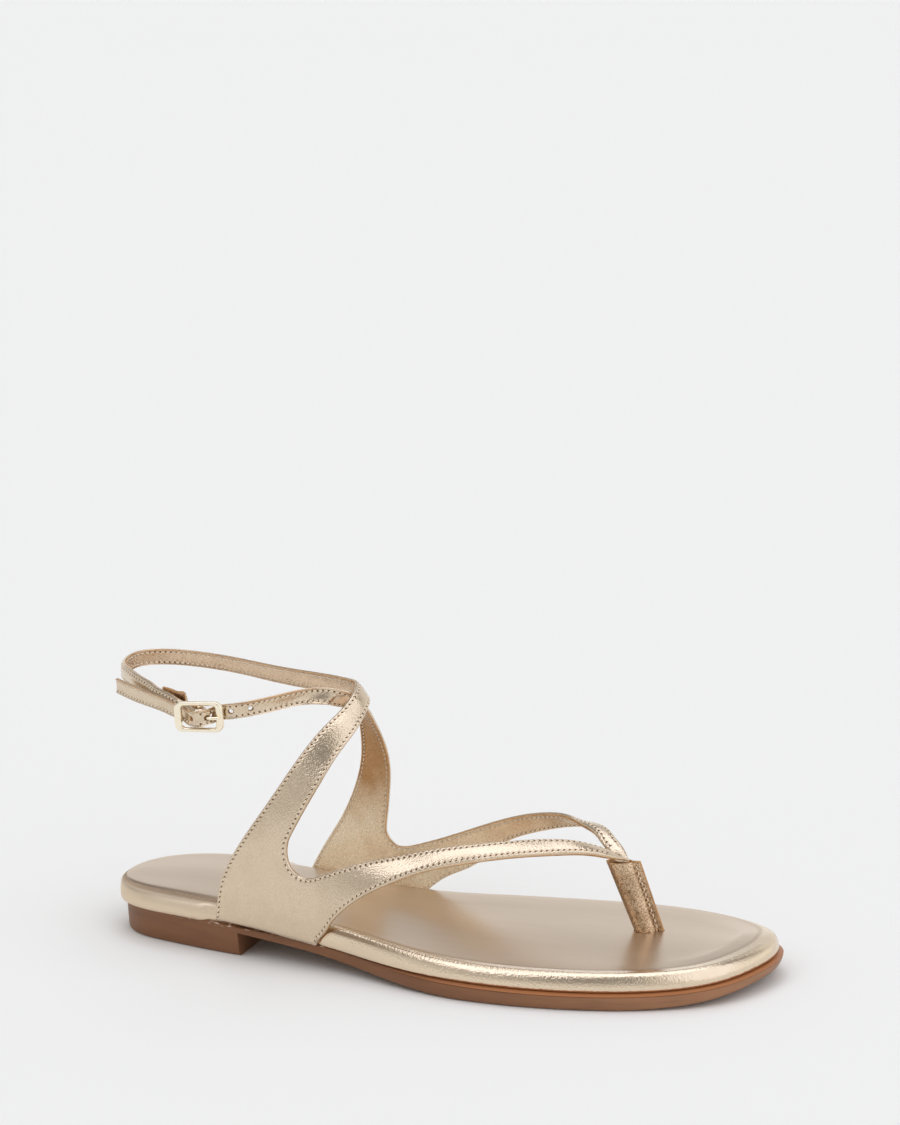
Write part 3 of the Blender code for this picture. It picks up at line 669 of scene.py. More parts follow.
@dataclass
class Skin:
    """Points and faces that grow into one mesh, with numbers stored on its points."""

    points: list[np.ndarray] = field(default_factory=list)
    faces: list[Sequence[int]] = field(default_factory=list)
    indices: list[int] = field(default_factory=list)
    numbers: dict[str, list[np.ndarray]] = field(default_factory=dict)
    count: int = 0

    def grow(self, points: np.ndarray, **numbers: np.ndarray) -> int:
        """Add points and the numbers stored on them.

        Args:
            points: Points in millimetres.
            numbers: A value for each of them, by name.

        Returns:
            The first new point's index.
        """
        first = self.count
        self.points.append(np.asarray(points, float).reshape(-1, 3))
        self.count += len(self.points[-1])
        for name, values in numbers.items():
            self.numbers.setdefault(name, []).append(np.asarray(values, float).reshape(-1))
        return first

    def join(self, low: int, high: int, around: int, materials: Sequence[int] | None = None) -> None:
        """Join two closed rings with a strip of faces each.

        Args:
            low: Index of the one ring's first point.
            high: Index of the other's.
            around: How many points a ring has.
            materials: The material index of each strip round the ring.
        """
        for i in range(around):
            ahead = (i + 1) % around
            self.faces.append((low + i, low + ahead, high + ahead, high + i))
            self.indices.append(materials[i] if materials is not None else 0)

    def band(self, first: int, rings: int, around: int, materials: Sequence[int] | None = None) -> None:
        """Join closed rings of points that follow one another from first on, as join does."""
        for ring in range(rings - 1):
            self.join(first + ring * around, first + (ring + 1) * around, around, materials)

    def cap(self, indices: Sequence[int], material: int = 0) -> None:
        """Close a ring with one face."""
        self.faces.append(list(indices))
        self.indices.append(material)

    def loft(self, rings: np.ndarray, materials: Sequence[int] | None = None, ends: int = 0,
             **numbers: np.ndarray) -> None:
        """Grow a closed body from rings of points.

        Args:
            rings: The points of each ring, in an array of rings, points and coordinates.
            materials: The material index of each strip round the ring.
            ends: The material index of the two end faces.
            numbers: The points' numbers.
        """
        first, around = self.grow(rings, **numbers), rings.shape[1]
        self.band(first, len(rings), around, materials)
        for start in (first, self.count - around):
            self.cap(range(start, start + around), ends)

    def mesh(self, name: str, crease: float = 50.0) -> bpy.types.Mesh:
        """Make the mesh, its faces turned outward and smooth.

        Args:
            name: The mesh's name.
            crease: Angle in degrees over which an edge stays sharp.

        Returns:
            The mesh, in the frame's metres.
        """
        made = bpy.data.meshes.new(name)
        made.from_pydata(to_row(np.concatenate(self.points)).tolist(), [], [list(f) for f in self.faces])
        made.polygons.foreach_set("material_index", self.indices)
        for label, parts in self.numbers.items():
            stored = made.attributes.new(label, "FLOAT", "POINT")
            stored.data.foreach_set("value", np.concatenate(parts).astype(np.float32))
        made.validate()
        shell = bmesh.new()
        shell.from_mesh(made)
        bmesh.ops.recalc_face_normals(shell, faces=shell.faces)
        shell.to_mesh(made)
        shell.free()
        made.shade_smooth()
        made.set_sharp_from_angle(angle=math.radians(crease))
        return made


def carve(piece: bpy.types.Object, tools: Sequence[bpy.types.Object], inside: int) -> None:
    """Cut closed tools out of a piece and remove them.

    Args:
        piece: The piece to cut.
        tools: Closed meshes in the frame's metres.
        inside: Material index that the cut faces take.
    """
    for tool in tools:
        for face in tool.data.polygons:
            face.material_index = inside
        cut = piece.modifiers.new(tool.name, "BOOLEAN")
        cut.operation = "DIFFERENCE"
        cut.solver = "EXACT"
        cut.object = tool
    bpy.context.view_layer.update()
    evaluated = piece.evaluated_get(bpy.context.evaluated_depsgraph_get())
    fresh = bpy.data.meshes.new_from_object(evaluated)
    piece.modifiers.clear()
    piece.data = fresh
    for tool in tools:
        bpy.data.objects.remove(tool)


def tube_rings(path: np.ndarray, radii: np.ndarray, around: int) -> np.ndarray:
    """Lay rings round a path, without a twist along it.

    Args:
        path: Points along the tube's middle.
        radii: The radius at each of them.
        around: How many points a ring has.

    Returns:
        An array of rings, points and coordinates.
    """
    tangent = unit(np.gradient(path, axis=0))
    upright = abs(tangent[0][2]) >= 0.9
    helper = np.array((1.0, 0.0, 0.0) if upright else (0.0, 0.0, 1.0))
    sides = []
    side = unit(np.cross(tangent[0], helper))
    for direction in tangent:
        side = unit(side - direction * (side @ direction))
        sides.append(side)
    sides = np.array(sides)
    ups = np.cross(tangent, sides)
    turns = np.linspace(0, 2 * math.pi, around, endpoint=False)
    circle = np.cos(turns)[None, :, None] * sides[:, None] + np.sin(turns)[None, :, None] * ups[:, None]
    return path[:, None] + circle * np.asarray(radii)[:, None, None]


def tube(name: str, path: np.ndarray, radii: np.ndarray, around: int) -> bpy.types.Mesh:
    """A closed tube round a path.

    Args:
        name: The mesh's name.
        path: Points along its middle, in millimetres.
        radii: The radius at each of them.
        around: How many sides it has.

    Returns:
        The mesh.
    """
    skin = Skin()
    skin.loft(tube_rings(path, radii, around))
    return skin.mesh(name)


def loose(name: str, mesh: bpy.types.Mesh) -> bpy.types.Object:
    """An object for a cutting tool.

    Args:
        name: Its name.
        mesh: Its mesh, in the frame's metres.

    Returns:
        The tool.
    """
    tool = bpy.data.objects.new(name, mesh)
    bpy.context.scene.collection.objects.link(tool)
    mesh.materials.append(None)
    return tool


# ---------------------------------------------------------------- sole and footbed
class Section(NamedTuple):
    """Half widths of the shoe's outline about the heel's own axis."""

    x: float
    lateral: float
    medial: float


class Height(NamedTuple):
    """A height at a place along the shoe."""

    x: float
    z: float


class Level(NamedTuple):
    """The outsole's side: share of its height, and how far it stands out, without and with the ledge."""

    rise: float
    plain: float
    ledge: float


class Ring(NamedTuple):
    """A ring of the footbed's rim: how far in it lies, and its height over the seat."""

    inset: float
    height: float


@dataclass
class SoleForm:
    """The outline and the heights that the outsole and the footbed share."""

    heel_end: float = 1.4
    toe_end: float = 252.0
    toe_tip_y: float = 4.8
    breast_x: float = 59.4
    breast_draft: float = 0.6
    rear_stations: int = 60
    front_stations: int = 180
    search_steps: int = 1500
    tangent_step: float = 0.05
    sections: tuple[Section, ...] = (
        Section(5.0, 13.6, 12.8), Section(15.1, 22.6, 22.2), Section(32.8, 27.7, 27.3),
        Section(63.0, 32.0, 27.3), Section(100.8, 36.5, 25.5), Section(138.6, 45.4, 34.1),
        Section(171.4, 47.0, 40.5), Section(201.6, 42.4, 42.6), Section(226.8, 33.0, 37.3),
        Section(241.9, 21.2, 28.0), Section(249.5, 6.2, 19.1),
    )
    top: tuple[Height, ...] = (
        Height(0.0, 11.8), Height(30.0, 12.2), Height(62.0, 11.6), Height(90.0, 10.1), Height(120.0, 7.5),
        Height(150.0, 6.4), Height(210.0, 6.2), Height(235.0, 7.0), Height(252.0, 8.5),
    )
    outline: np.ndarray = field(init=False)
    normal: np.ndarray = field(init=False)
    run: np.ndarray = field(init=False)

    def __post_init__(self) -> None:
        """Work out the stations round the outline, lateral side first, with their outward normals."""
        heel = (self.heel_end, 0)
        lateral = [(s.x, -s.lateral) for s in self.sections]
        medial = [(s.x, s.medial) for s in reversed(self.sections)]
        points = np.array([heel, *lateral, (self.toe_end, self.toe_tip_y), *medial, heel])
        knots = chord(points)
        toe = knots[len(lateral) + 1]
        sides = []
        for start, end in ((0.0, toe), (knots[-1], toe)):
            fine = np.linspace(start, end, self.search_steps)
            x = cubic(knots, points, fine, closed=True)[:, 0]
            breast = fine[np.argmax(x > self.breast_x)]
            ahead = fine[np.argmax(x > self.breast_x + self.breast_draft)]
            rear = np.linspace(start, breast, self.rear_stations)
            sides.append(np.concatenate([rear, np.linspace(ahead, end, self.front_stations)]))
        at = np.concatenate([sides[0], sides[1][-2:0:-1]])
        self.outline = cubic(knots, points, at, closed=True)
        ahead = at % knots[-1] + self.tangent_step
        tangent = unit(cubic(knots, points, ahead, closed=True) - self.outline)
        self.normal = np.stack([tangent[:, 1], -tangent[:, 0]], axis=1)
        self.run = at

    @property
    def half(self) -> int:
        """How many stations lie from the heel's tip to the toe's, both counted."""
        return self.rear_stations + self.front_stations

    @property
    def medial(self) -> np.ndarray:
        """Which stations lie on the medial side."""
        return np.arange(len(self.outline)) >= self.half

    def heights(self, table: Sequence[Height]) -> np.ndarray:
        """Read a table of heights at every station."""
        return cubic([h.x for h in table], [[h.z] for h in table], self.outline[:, 0])[:, 0]

    def ring(self, outset: np.ndarray, height: np.ndarray) -> np.ndarray:
        """The stations moved out by outset, at the heights given."""
        flat = self.outline + self.normal * np.asarray(outset)[:, None]
        return np.column_stack([flat, height])

    def close(self, skin: Skin, first: int, ring: np.ndarray, rungs: int, dish: float = 0.0,
              **numbers: float) -> None:
        """Close a ring with rows of faces from the lateral side to the medial one.

        Args:
            skin: The skin that the ring belongs to.
            first: Index of the ring's first point.
            ring: The ring's points.
            rungs: How many faces lie across.
            dish: How deep the middle lies under the ring.
            numbers: Values of the skin's numbers on the new points.
        """
        count, half = len(ring), self.half
        share = np.arange(1, rungs) / rungs
        near = ring[1:half - 1]
        far = ring[(count - np.arange(1, half - 1)) % count]
        rows = near[:, None] * (1 - share)[None, :, None] + far[:, None] * share[None, :, None]
        length = np.linalg.norm(far - near, axis=1)
        depth = dish * ramp(length, 0, length.max() * 0.9)      # fading out towards the two tips
        rows[:, :, 2] -= depth[:, None] * np.sin(share * math.pi)[None, :] ** 2
        filled = {name: np.full(rows.shape[0] * rows.shape[1], value) for name, value in numbers.items()}
        inner = skin.grow(rows, **filled)

        def row(i: int) -> list[int]:
            """Indices across at station i."""
            middle = [inner + (i - 1) * (rungs - 1) + k for k in range(rungs - 1)]
            return [first + i, *middle, first + (count - i) % count]

        for tip, edge in ((first, row(1)), (first + half - 1, row(half - 2))):
            for a, b in zip(edge, edge[1:]):
                skin.cap((tip, a, b))
        for i in range(1, half - 2):
            low, high = row(i), row(i + 1)
            for k in range(rungs):
                skin.cap((low[k], low[k + 1], high[k + 1], high[k]))


@dataclass
class Outsole:
    """The moulded unit: heel block, arched shank and forefoot with its ledge.

    rungs are the faces across its underside and its top, and plain_run the place along the shoe whose
    finish those faces take.
    """

    form: SoleForm
    lip_start: float = 100.0
    lip_full: float = 160.0
    flat_forefoot: tuple[float, float] = (150.0, 212.0)
    heel_taper: float = 2.2
    rear_tuck: float = 1.6
    rungs: tuple[int, int] = (12, 4)
    plain_run: float = 100.0
    underside: tuple[Height, ...] = (
        Height(60.0, 9.3), Height(90.0, 6.4), Height(120.0, 2.4), Height(145.0, 0.2), Height(158.0, 0.0),
        Height(205.0, 0.0), Height(222.0, 0.5), Height(238.0, 1.9), Height(252.0, 4.5),
    )
    side: tuple[Level, ...] = (
        Level(0.00, -2.2, -1.5), Level(0.02, -1.7, -0.9), Level(0.06, -1.3, -0.1), Level(0.12, -1.1, 0.4),
        Level(0.35, -1.0, 0.9), Level(0.58, -0.9, 1.25), Level(0.80, -0.85, 1.5), Level(0.885, -0.85, 1.55),
        Level(0.905, -0.9, 1.3), Level(0.925, -0.85, 1.6), Level(0.955, -0.75, 1.6), Level(0.975, -0.75, 1.3),
        Level(1.00, -0.8, 0.6), Level(1.03, -1.1, -0.4), Level(1.045, -2.2, -2.2),
    )

    def build(self, rubber: bpy.types.Material) -> bpy.types.Object:
        """Loft the unit and dress it in rubber.

        Args:
            rubber: Its material.

        Returns:
            The piece.
        """
        form = self.form
        x = form.outline[:, 0]
        heel = x < form.breast_x + form.breast_draft / 2
        under = np.maximum(form.heights(self.underside), 0)
        under[heel | ((x > self.flat_forefoot[0]) & (x < self.flat_forefoot[1]))] = 0
        top = form.heights(form.top)
        ledge = ramp(x, self.lip_start, self.lip_full)
        tuck = self.rear_tuck * (1 - ramp(x, form.heel_end, form.breast_x))
        skin, firsts, rings = Skin(), [], []
        for level in self.side:
            taper = self.heel_taper * (1 - level.rise) * heel * ramp(x, form.heel_end, form.breast_x / 2)
            outset = level.plain * (1 - ledge) + level.ledge * ledge - taper - tuck
            rings.append(form.ring(outset, under + level.rise * (top - under)))
            firsts.append(skin.grow(rings[-1], off=np.full(len(x), level.rise), run=x))
        skin.band(firsts[0], len(rings), len(x))
        form.close(skin, firsts[0], rings[0], self.rungs[0], off=0.0, run=self.plain_run)
        form.close(skin, firsts[-1], rings[-1], self.rungs[1], off=1.0, run=self.plain_run)
        return add_object("outsole_unit", skin.mesh("outsole_unit"), [rubber], ["outsole"])


@dataclass
class Footbed:
    """The padded footbed: a flat top inside a rounded rim, and the slit for the toe post.

    Behind the quarters the rim is squeezed thin under a shoulder and ends in a sharp gathered crease.
    Ahead of the lateral quarter, over the waist, its edge is pulled up into a ridge, and the fold behind
    the ridge is shaded. Further on the near side bulges a little. On the far side the rim's colour
    reaches further in, by far_shift. A quarter presses the side in where it passes over it.
    """

    form: SoleForm
    heel_pad: float = 1.0
    pad_fade: tuple[float, float] = (62.0, 90.0)
    recess: float = 1.6
    recess_reach: float = 4.4
    lateral_quarter: tuple[float, float, float, float] = (44.0, 48.0, 89.0, 97.0)
    medial_quarter: tuple[float, float, float, float] = (57.0, 61.0, 104.0, 112.0)
    gathered: tuple[float, float] = (53.0, 60.0)
    squeeze: float = 0.78
    shoulder: float = 0.55
    shoulder_rise: float = 2.5
    shoulder_fall: float = 1.4
    waist: tuple[float, float, float] = (88.0, 101.0, 168.0)
    bulge: float = 0.7
    bulge_insets: tuple[float, float, float] = (0.6, 2.7, 7.0)
    shade: tuple[float, float, float, float] = (0.95, 1.35, 2.4, 3.0)
    crease_at: float = 6.9
    crease_depth: float = 0.4
    crease_width: float = 0.35
    far_shift: float = 5.0
    top_off: float = 20.0
    dish: float = -0.4
    rungs: tuple[int, int] = (6, 24)
    rim: tuple[Ring, ...] = (
        Ring(1.6, 0.0), Ring(0.7, 0.05), Ring(0.35, 0.25), Ring(0.15, 0.6), Ring(0.05, 1.0), Ring(0.0, 1.5),
        Ring(0.02, 2.0), Ring(0.09, 2.55), Ring(0.22, 3.05), Ring(0.39, 3.55), Ring(0.59, 4.05), Ring(0.82, 4.52),
        Ring(1.09, 4.94), Ring(1.41, 5.28), Ring(1.80, 5.54), Ring(2.25, 5.72), Ring(2.75, 5.84), Ring(3.2, 5.90),
        Ring(3.7, 5.94), Ring(4.1, 5.965), Ring(4.5, 5.985), Ring(4.9, 6.00), Ring(5.4, 6.025), Ring(6.0, 6.04),
        Ring(6.5, 6.05), Ring(6.75, 6.055), Ring(6.9, 6.06), Ring(7.05, 6.065), Ring(7.3, 6.07), Ring(8.2, 6.085),
        Ring(10.0, 6.12), Ring(13.0, 6.17),
    )
    pulled: tuple[Ring, ...] = (
        Ring(1.6, 0.0), Ring(0.7, 0.05), Ring(0.35, 0.25), Ring(0.15, 0.6), Ring(0.05, 1.0), Ring(0.0, 1.6),
        Ring(0.0, 2.4), Ring(0.02, 3.2), Ring(0.05, 3.9), Ring(0.10, 4.5), Ring(0.18, 5.1), Ring(0.27, 5.65),
        Ring(0.37, 6.1), Ring(0.52, 6.52), Ring(0.68, 6.95), Ring(0.84, 7.38), Ring(1.0, 7.78), Ring(1.2, 8.1),
        Ring(1.5, 8.33), Ring(1.95, 8.43), Ring(2.6, 8.38), Ring(3.5, 8.1), Ring(4.6, 7.65), Ring(5.6, 7.2),
        Ring(6.3, 6.9), Ring(6.7, 6.72), Ring(6.9, 6.62), Ring(7.2, 6.55), Ring(7.7, 6.45), Ring(8.7, 6.3),
        Ring(10.3, 6.2), Ring(13.0, 6.17),
    )

    def build(self, leather: bpy.types.Material, raw: bpy.types.Material, post: "ToePost") -> bpy.types.Object:
        """Loft the footbed, cut the slit and dress it in leather.

        Args:
            leather: The cover's material.
            raw: The slit's material.
            post: The toe post that goes into the slit.

        Returns:
            The piece.
        """
        form = self.form
        x = form.outline[:, 0]
        near, far = (np.clip(side * form.normal[:, 1], 0, 1) for side in (-1, 1))
        gather = 1 - ramp(x, *self.gathered)
        waist = self._hump(x, *self.waist) * ~form.medial
        swell = 1 + self.heel_pad / self.rim[-1].height * (1 - ramp(x, *self.pad_fade))
        squeeze = self.squeeze * gather * (1 - near ** 2)
        proud = self.bulge * near * (1 - gather) * (1 - waist)
        pressed = self._recess(x)
        seat = form.heights(form.top) + GAP
        skin, firsts, rings = Skin(), [], []
        for ring, taut in zip(self.rim, self.pulled):
            share = max(0.0, 1 - ring.inset / self.recess_reach)
            inset = ring.inset * (1 - waist) + taut.inset * waist
            height = ring.height * (1 - waist) + taut.height * waist + proud * self._hump(
                ring.inset, *self.bulge_insets)
            outset = -inset * (1 - squeeze) - pressed * math.sqrt(share)
            rings.append(form.ring(outset, seat + height * swell - gather * self._sunk(ring.inset)))
            off = ring.inset + self.far_shift * far ** 2
            shade = waist ** 2 * ramp(ring.inset, *self.shade[:2]) * (1 - ramp(ring.inset, *self.shade[2:]))
            firsts.append(skin.grow(rings[-1], off=off, run=form.run, gather=gather, shade=shade))
        skin.band(firsts[0], len(rings), len(x))
        plain = {"run": 0.0, "gather": 0.0, "shade": 0.0}
        form.close(skin, firsts[0], rings[0], self.rungs[0], off=0.0, **plain)
        form.close(skin, firsts[-1], rings[-1], self.rungs[1], self.dish, off=self.top_off, **plain)
        piece = add_object("footbed_cover", skin.mesh("footbed_cover"), [leather, raw],
                           ["footbed"])
        carve(piece, [post.slit()], 1)
        return piece

    @staticmethod
    def _hump(at: Any, start: float, full: float, gone: float) -> np.ndarray:
        """A smooth rise from 0 at start to 1 at full, and back to 0 at gone."""
        return ramp(at, start, full) * (1 - ramp(at, full, gone))

    def _sunk(self, inset: float) -> float:
        """How far a gathered ring lies under its table's height: in the crease and over the shoulder.

        Args:
            inset: How far in the ring lies.

        Returns:
            The depth.
        """
        crease = self.crease_depth * math.exp(-((inset - self.crease_at) / self.crease_width) ** 2)
        outside = max(self.crease_at - inset, 0.0)
        return crease + self.shoulder * min(outside / self.shoulder_fall, 1.0, inset / self.shoulder_rise)

    def _recess(self, x: np.ndarray) -> np.ndarray:
        """How deep the footbed's side is pressed in where a quarter passes over it.

        Args:
            x: Places along the shoe.

        Returns:
            The depth at each of them.
        """
        pressed = np.zeros_like(x)
        for (begin, start, end, gone), side in ((self.lateral_quarter, ~self.form.medial),
                                                (self.medial_quarter, self.form.medial)):
            window = ramp(x, begin, start) * (1 - ramp(x, end, gone))
            pressed += self.recess * window * side
        return pressed


# ---------------------------------------------------------------- stitching
class Bend(NamedTuple):
    """A ring of a stitch: its share of the length, its lift and its radius, in the stitch's own sizes."""

    share: float
    lift: float
    radius: float


@dataclass
class Stitches:
    """Rows of thread between needle holes, gathered into one mesh."""

    radius: float = 0.24
    length: float = 0.64                    # share of the pitch
    proud: float = 0.08
    sides: int = 6
    bend: tuple[Bend, ...] = (
        Bend(-0.5, -1.2, 0.5), Bend(-0.42, -0.35, 0.85), Bend(-0.22, 0.55, 1.0), Bend(0.0, 0.8, 1.05),
        Bend(0.22, 0.55, 1.0), Bend(0.42, -0.35, 0.85), Bend(0.5, -1.2, 0.5),
    )
    skin: Skin = field(default_factory=Skin)

    def sew(self, line: np.ndarray, outward: np.ndarray, run: np.ndarray) -> None:
        """Lay a stitch between each two needle holes along a line.

        Args:
            line: Points along the seam, on the leather.
            outward: The leather's normals there.
            run: Distance along the seam at each point.
        """
        first, last = math.ceil(run[0] / SEAM.pitch), math.floor(run[-1] / SEAM.pitch)
        shares, lift, radii = np.array(self.bend).T
        lift, radii = lift * self.proud, radii * self.radius
        for number in range(first, last + 1):
            at = number * SEAM.pitch + shares * SEAM.pitch * self.length
            if at[0] < run[0] or at[-1] > run[-1]:
                continue
            spot = np.column_stack([np.interp(at, run, line[:, k]) for k in range(3)])
            normal = unit(np.column_stack([np.interp(at, run, outward[:, k]) for k in range(3)]))
            rings = tube_rings(spot + normal * lift[:, None], radii, self.sides)
            self.skin.loft(rings, run=np.repeat(at, self.sides))

    def build(self, name: str, thread: bpy.types.Material) -> bpy.types.Object:
        """Make the piece."""
        return add_object(name, self.skin.mesh(name), [thread])


# ---------------------------------------------------------------- toe post
@dataclass
class ToePost:
    """The wrapped leather sleeve with its stitched flange, hollow at the top.

    waves are those of the wrap: share of its thickness, radians in a millimetre, and where they start.
    """

    foot: np.ndarray = field(default_factory=lambda: np.array((203.6, 10.2, 12.4)))
    head: np.ndarray = field(default_factory=lambda: np.array((195.4, 8.5, 38.4)))
    turn: float = math.radians(12.6)
    slit_depth: float = 2.4
    slit_over: float = 1.4
    tube_centre: float = -1.2
    tube_radii: tuple[float, float] = (4.6, 3.2)
    wall: float = 0.75
    flange_end: float = 5.9
    flange_half: float = 0.95
    pinch: float = 0.55
    hinge: float = 3.4
    tapering: tuple[float, float] = (0.9, 1.075)
    mouth: float = 17.0                     # half the angle that the flange takes of the tube
    lip: float = 0.1
    bore_depth: float = 12.0
    slit_room: float = 0.08
    seam_at: float = 4.0
    seam_ends: tuple[float, float] = (0.4, 0.6)
    seam_depth: float = 0.12
    waves: tuple[tuple[float, float, float], ...] = ((0.02, 0.9, 0.0), (0.008, 2.3, 1.0))
    levels: int = 60

    def at(self, level: Any, broad: Any, thin: Any) -> np.ndarray:
        """Find points in the post's own terms.

        Args:
            level: Heights over the post's foot.
            broad: Distances along its broad side.
            thin: Distances along its thin side.

        Returns:
            A row of coordinates for each.
        """
        lean = (self.head - self.foot) / (self.head[2] - self.foot[2])
        across = np.array((math.cos(self.turn), math.sin(self.turn), 0))
        through = np.array((-math.sin(self.turn), math.cos(self.turn), 0))
        level, broad, thin = (np.asarray(v, float)[..., None] for v in (level, broad, thin))
        return self.foot + lean * level + across * broad + through * thin

    @property
    def tall(self) -> float:
        """Height of the sleeve over the footbed."""
        return float(self.head[2] - self.foot[2])

    def outline(self, grow: float = 0.0) -> np.ndarray:
        """Points round the sleeve: the oval tube, and the flange that its two edges make.

        Args:
            grow: How far the outline stands off the leather.

        Returns:
            Rows of distances along the broad and the thin side.
        """
        long, short = self.tube_radii[0] + grow, self.tube_radii[1] + grow
        mouth = math.radians(self.mouth)
        turns = np.linspace(mouth, 2 * math.pi - mouth, 41)
        oval = np.column_stack([self.tube_centre + long * np.cos(turns), short * np.sin(turns)])
        end, half = self.flange_end + grow, self.flange_half + grow
        pinch = self.pinch + grow
        upper = np.array([(3.5, pinch * 1.05), (3.75, pinch), (4.0, pinch * 1.1), (4.3, half * 0.97), (4.8, half),
                          (end - 0.3, half), (end - 0.08, half * 0.9)])
        tip = np.array([(end, half * 0.6), (end, 0.1), (end - 0.15, 0.0), (end, -0.1), (end, half * -0.6)])
        lower = upper[::-1] * (1, -1)
        return np.concatenate([oval, lower[::-1], tip[::-1], upper[::-1]])

    def taper(self, level: np.ndarray, broad: np.ndarray) -> np.ndarray:
        """Draw the tube's back in at the foot and let it out at the head.

        Args:
            level: Heights over the post's foot.
            broad: Distances along its broad side.

        Returns:
            The distances at those heights.
        """
        share = np.clip(level / self.tall, 0, 1)
        grown = self.tapering[0] * (1 - share) + self.tapering[1] * share
        return np.where(broad < self.hinge, self.hinge + (broad - self.hinge) * grown, broad)

    def slit(self) -> bpy.types.Object:
        """The space that the post needs in the footbed.

        Returns:
            The cutting tool.
        """
        skin, outline = Skin(), self.outline(self.slit_room)
        levels = (-self.slit_depth, self.slit_over)
        skin.loft(np.array([self.at(level, self.taper(0.0, outline[:, 0]), outline[:, 1]) for level in levels]))
        return loose("slit", skin.mesh("slit"))

    def build(self, leather: bpy.types.Material, raw: bpy.types.Material,
              stitches: Stitches) -> bpy.types.Object:
        """Make the sleeve and sew its flange.

        Args:
            leather: The sleeve's material.
            raw: The material of its cut edges and its bore.
            stitches: Where the thread goes.

        Returns:
            The piece.
        """
        outline, inner = self.outline(), self._bore()
        count = len(outline)
        unsewn = {"off": np.full(count, OFF_SEAM), "run": np.zeros(count)}
        levels = np.linspace(GAP - self.slit_depth, self.tall, self.levels)
        grips = sum((share * np.sin(levels * rate + start) for share, rate, start in self.waves), 1.0)
        skin = Skin()
        starts = [skin.grow(self.at(level, self.taper(level, outline[:, 0]), outline[:, 1] * grip), **unsewn)
                  for level, grip in zip(levels, grips)]
        flange = outline[:, 0] > self.flange_end - 0.5
        cut = np.where(flange & np.roll(flange, -1), 1, 0)
        skin.band(starts[0], len(levels), count, cut)
        outside, inside = (self.taper(self.tall, line[:, 0]) for line in (outline, inner))
        low = starts[-1]
        for level, broad, thin in (
                (self.tall + self.lip, (outside + inside) / 2, (outline[:, 1] + inner[:, 1]) / 2),
                (self.tall - self.lip, inside, inner[:, 1]),
                (self.tall - self.bore_depth, inside, inner[:, 1])):
            high = skin.grow(self.at(level, broad, thin), **unsewn)
            skin.join(low, high, count, np.ones(count, int))
            low = high
        skin.cap(range(low, low + count), 1)
        skin.cap(range(starts[0], starts[0] + count))
        self._sew(stitches)
        return add_object("toe_post_sleeve", skin.mesh("toe_post_sleeve", 60.0), [leather, raw],
                          ["toe_post"])

    def _bore(self) -> np.ndarray:
        """The tube's inside, point for point with the outline; the flange has none.

        Returns:
            Rows of distances along the broad and the thin side.
        """
        outline = self.outline()
        long, short = (r - self.wall for r in self.tube_radii)
        angle = np.arctan2(outline[:, 1] / self.tube_radii[1],
                           (outline[:, 0] - self.tube_centre) / self.tube_radii[0])
        return np.column_stack([self.tube_centre + long * np.cos(angle), short * np.sin(angle)])

    def _sew(self, stitches: Stitches) -> None:
        """Sew the flange shut, on both its sides.

        Args:
            stitches: Where the thread goes.
        """
        start, end = self.seam_ends
        levels = np.linspace(start, self.tall - end, self.levels)
        broad = np.full(self.levels, self.seam_at)
        for side in (-1, 1):
            face = np.full(self.levels, side * (self.flange_half - self.seam_depth))
            line = self.at(levels, broad, face)
            outward = self.at(levels, broad, face + side) - line
            stitches.sew(line, unit(outward), chord(line))


# ---------------------------------------------------------------- straps
class Rib(NamedTuple):
    """A line across a strap, from the cut-out's edge to the outer rim, and the leather's wall there.

    Past the crossing the first edge becomes the ankle strap's lower edge on the lateral strap and the
    billet's upper edge on the medial one.
    """

    slot_x: float
    slot_y: float
    slot_z: float
    rim_x: float
    rim_y: float
    rim_z: float
    wall: float


class Weave(NamedTuple):
    """A rib in the buckle's terms: forward, outward, and the heights of the strap's edges."""

    along: float
    out: float
    top: float
    bottom: float
    wall: float


class Edge(Enum):
    """The two edges of a strap."""

    SLOT = 0
    RIM = 1


class Fold(NamedTuple):
    """A point round a strap's edge: how far in it lies, its level in half walls, and what shows there."""

    inset: float
    level: float
    face: Face


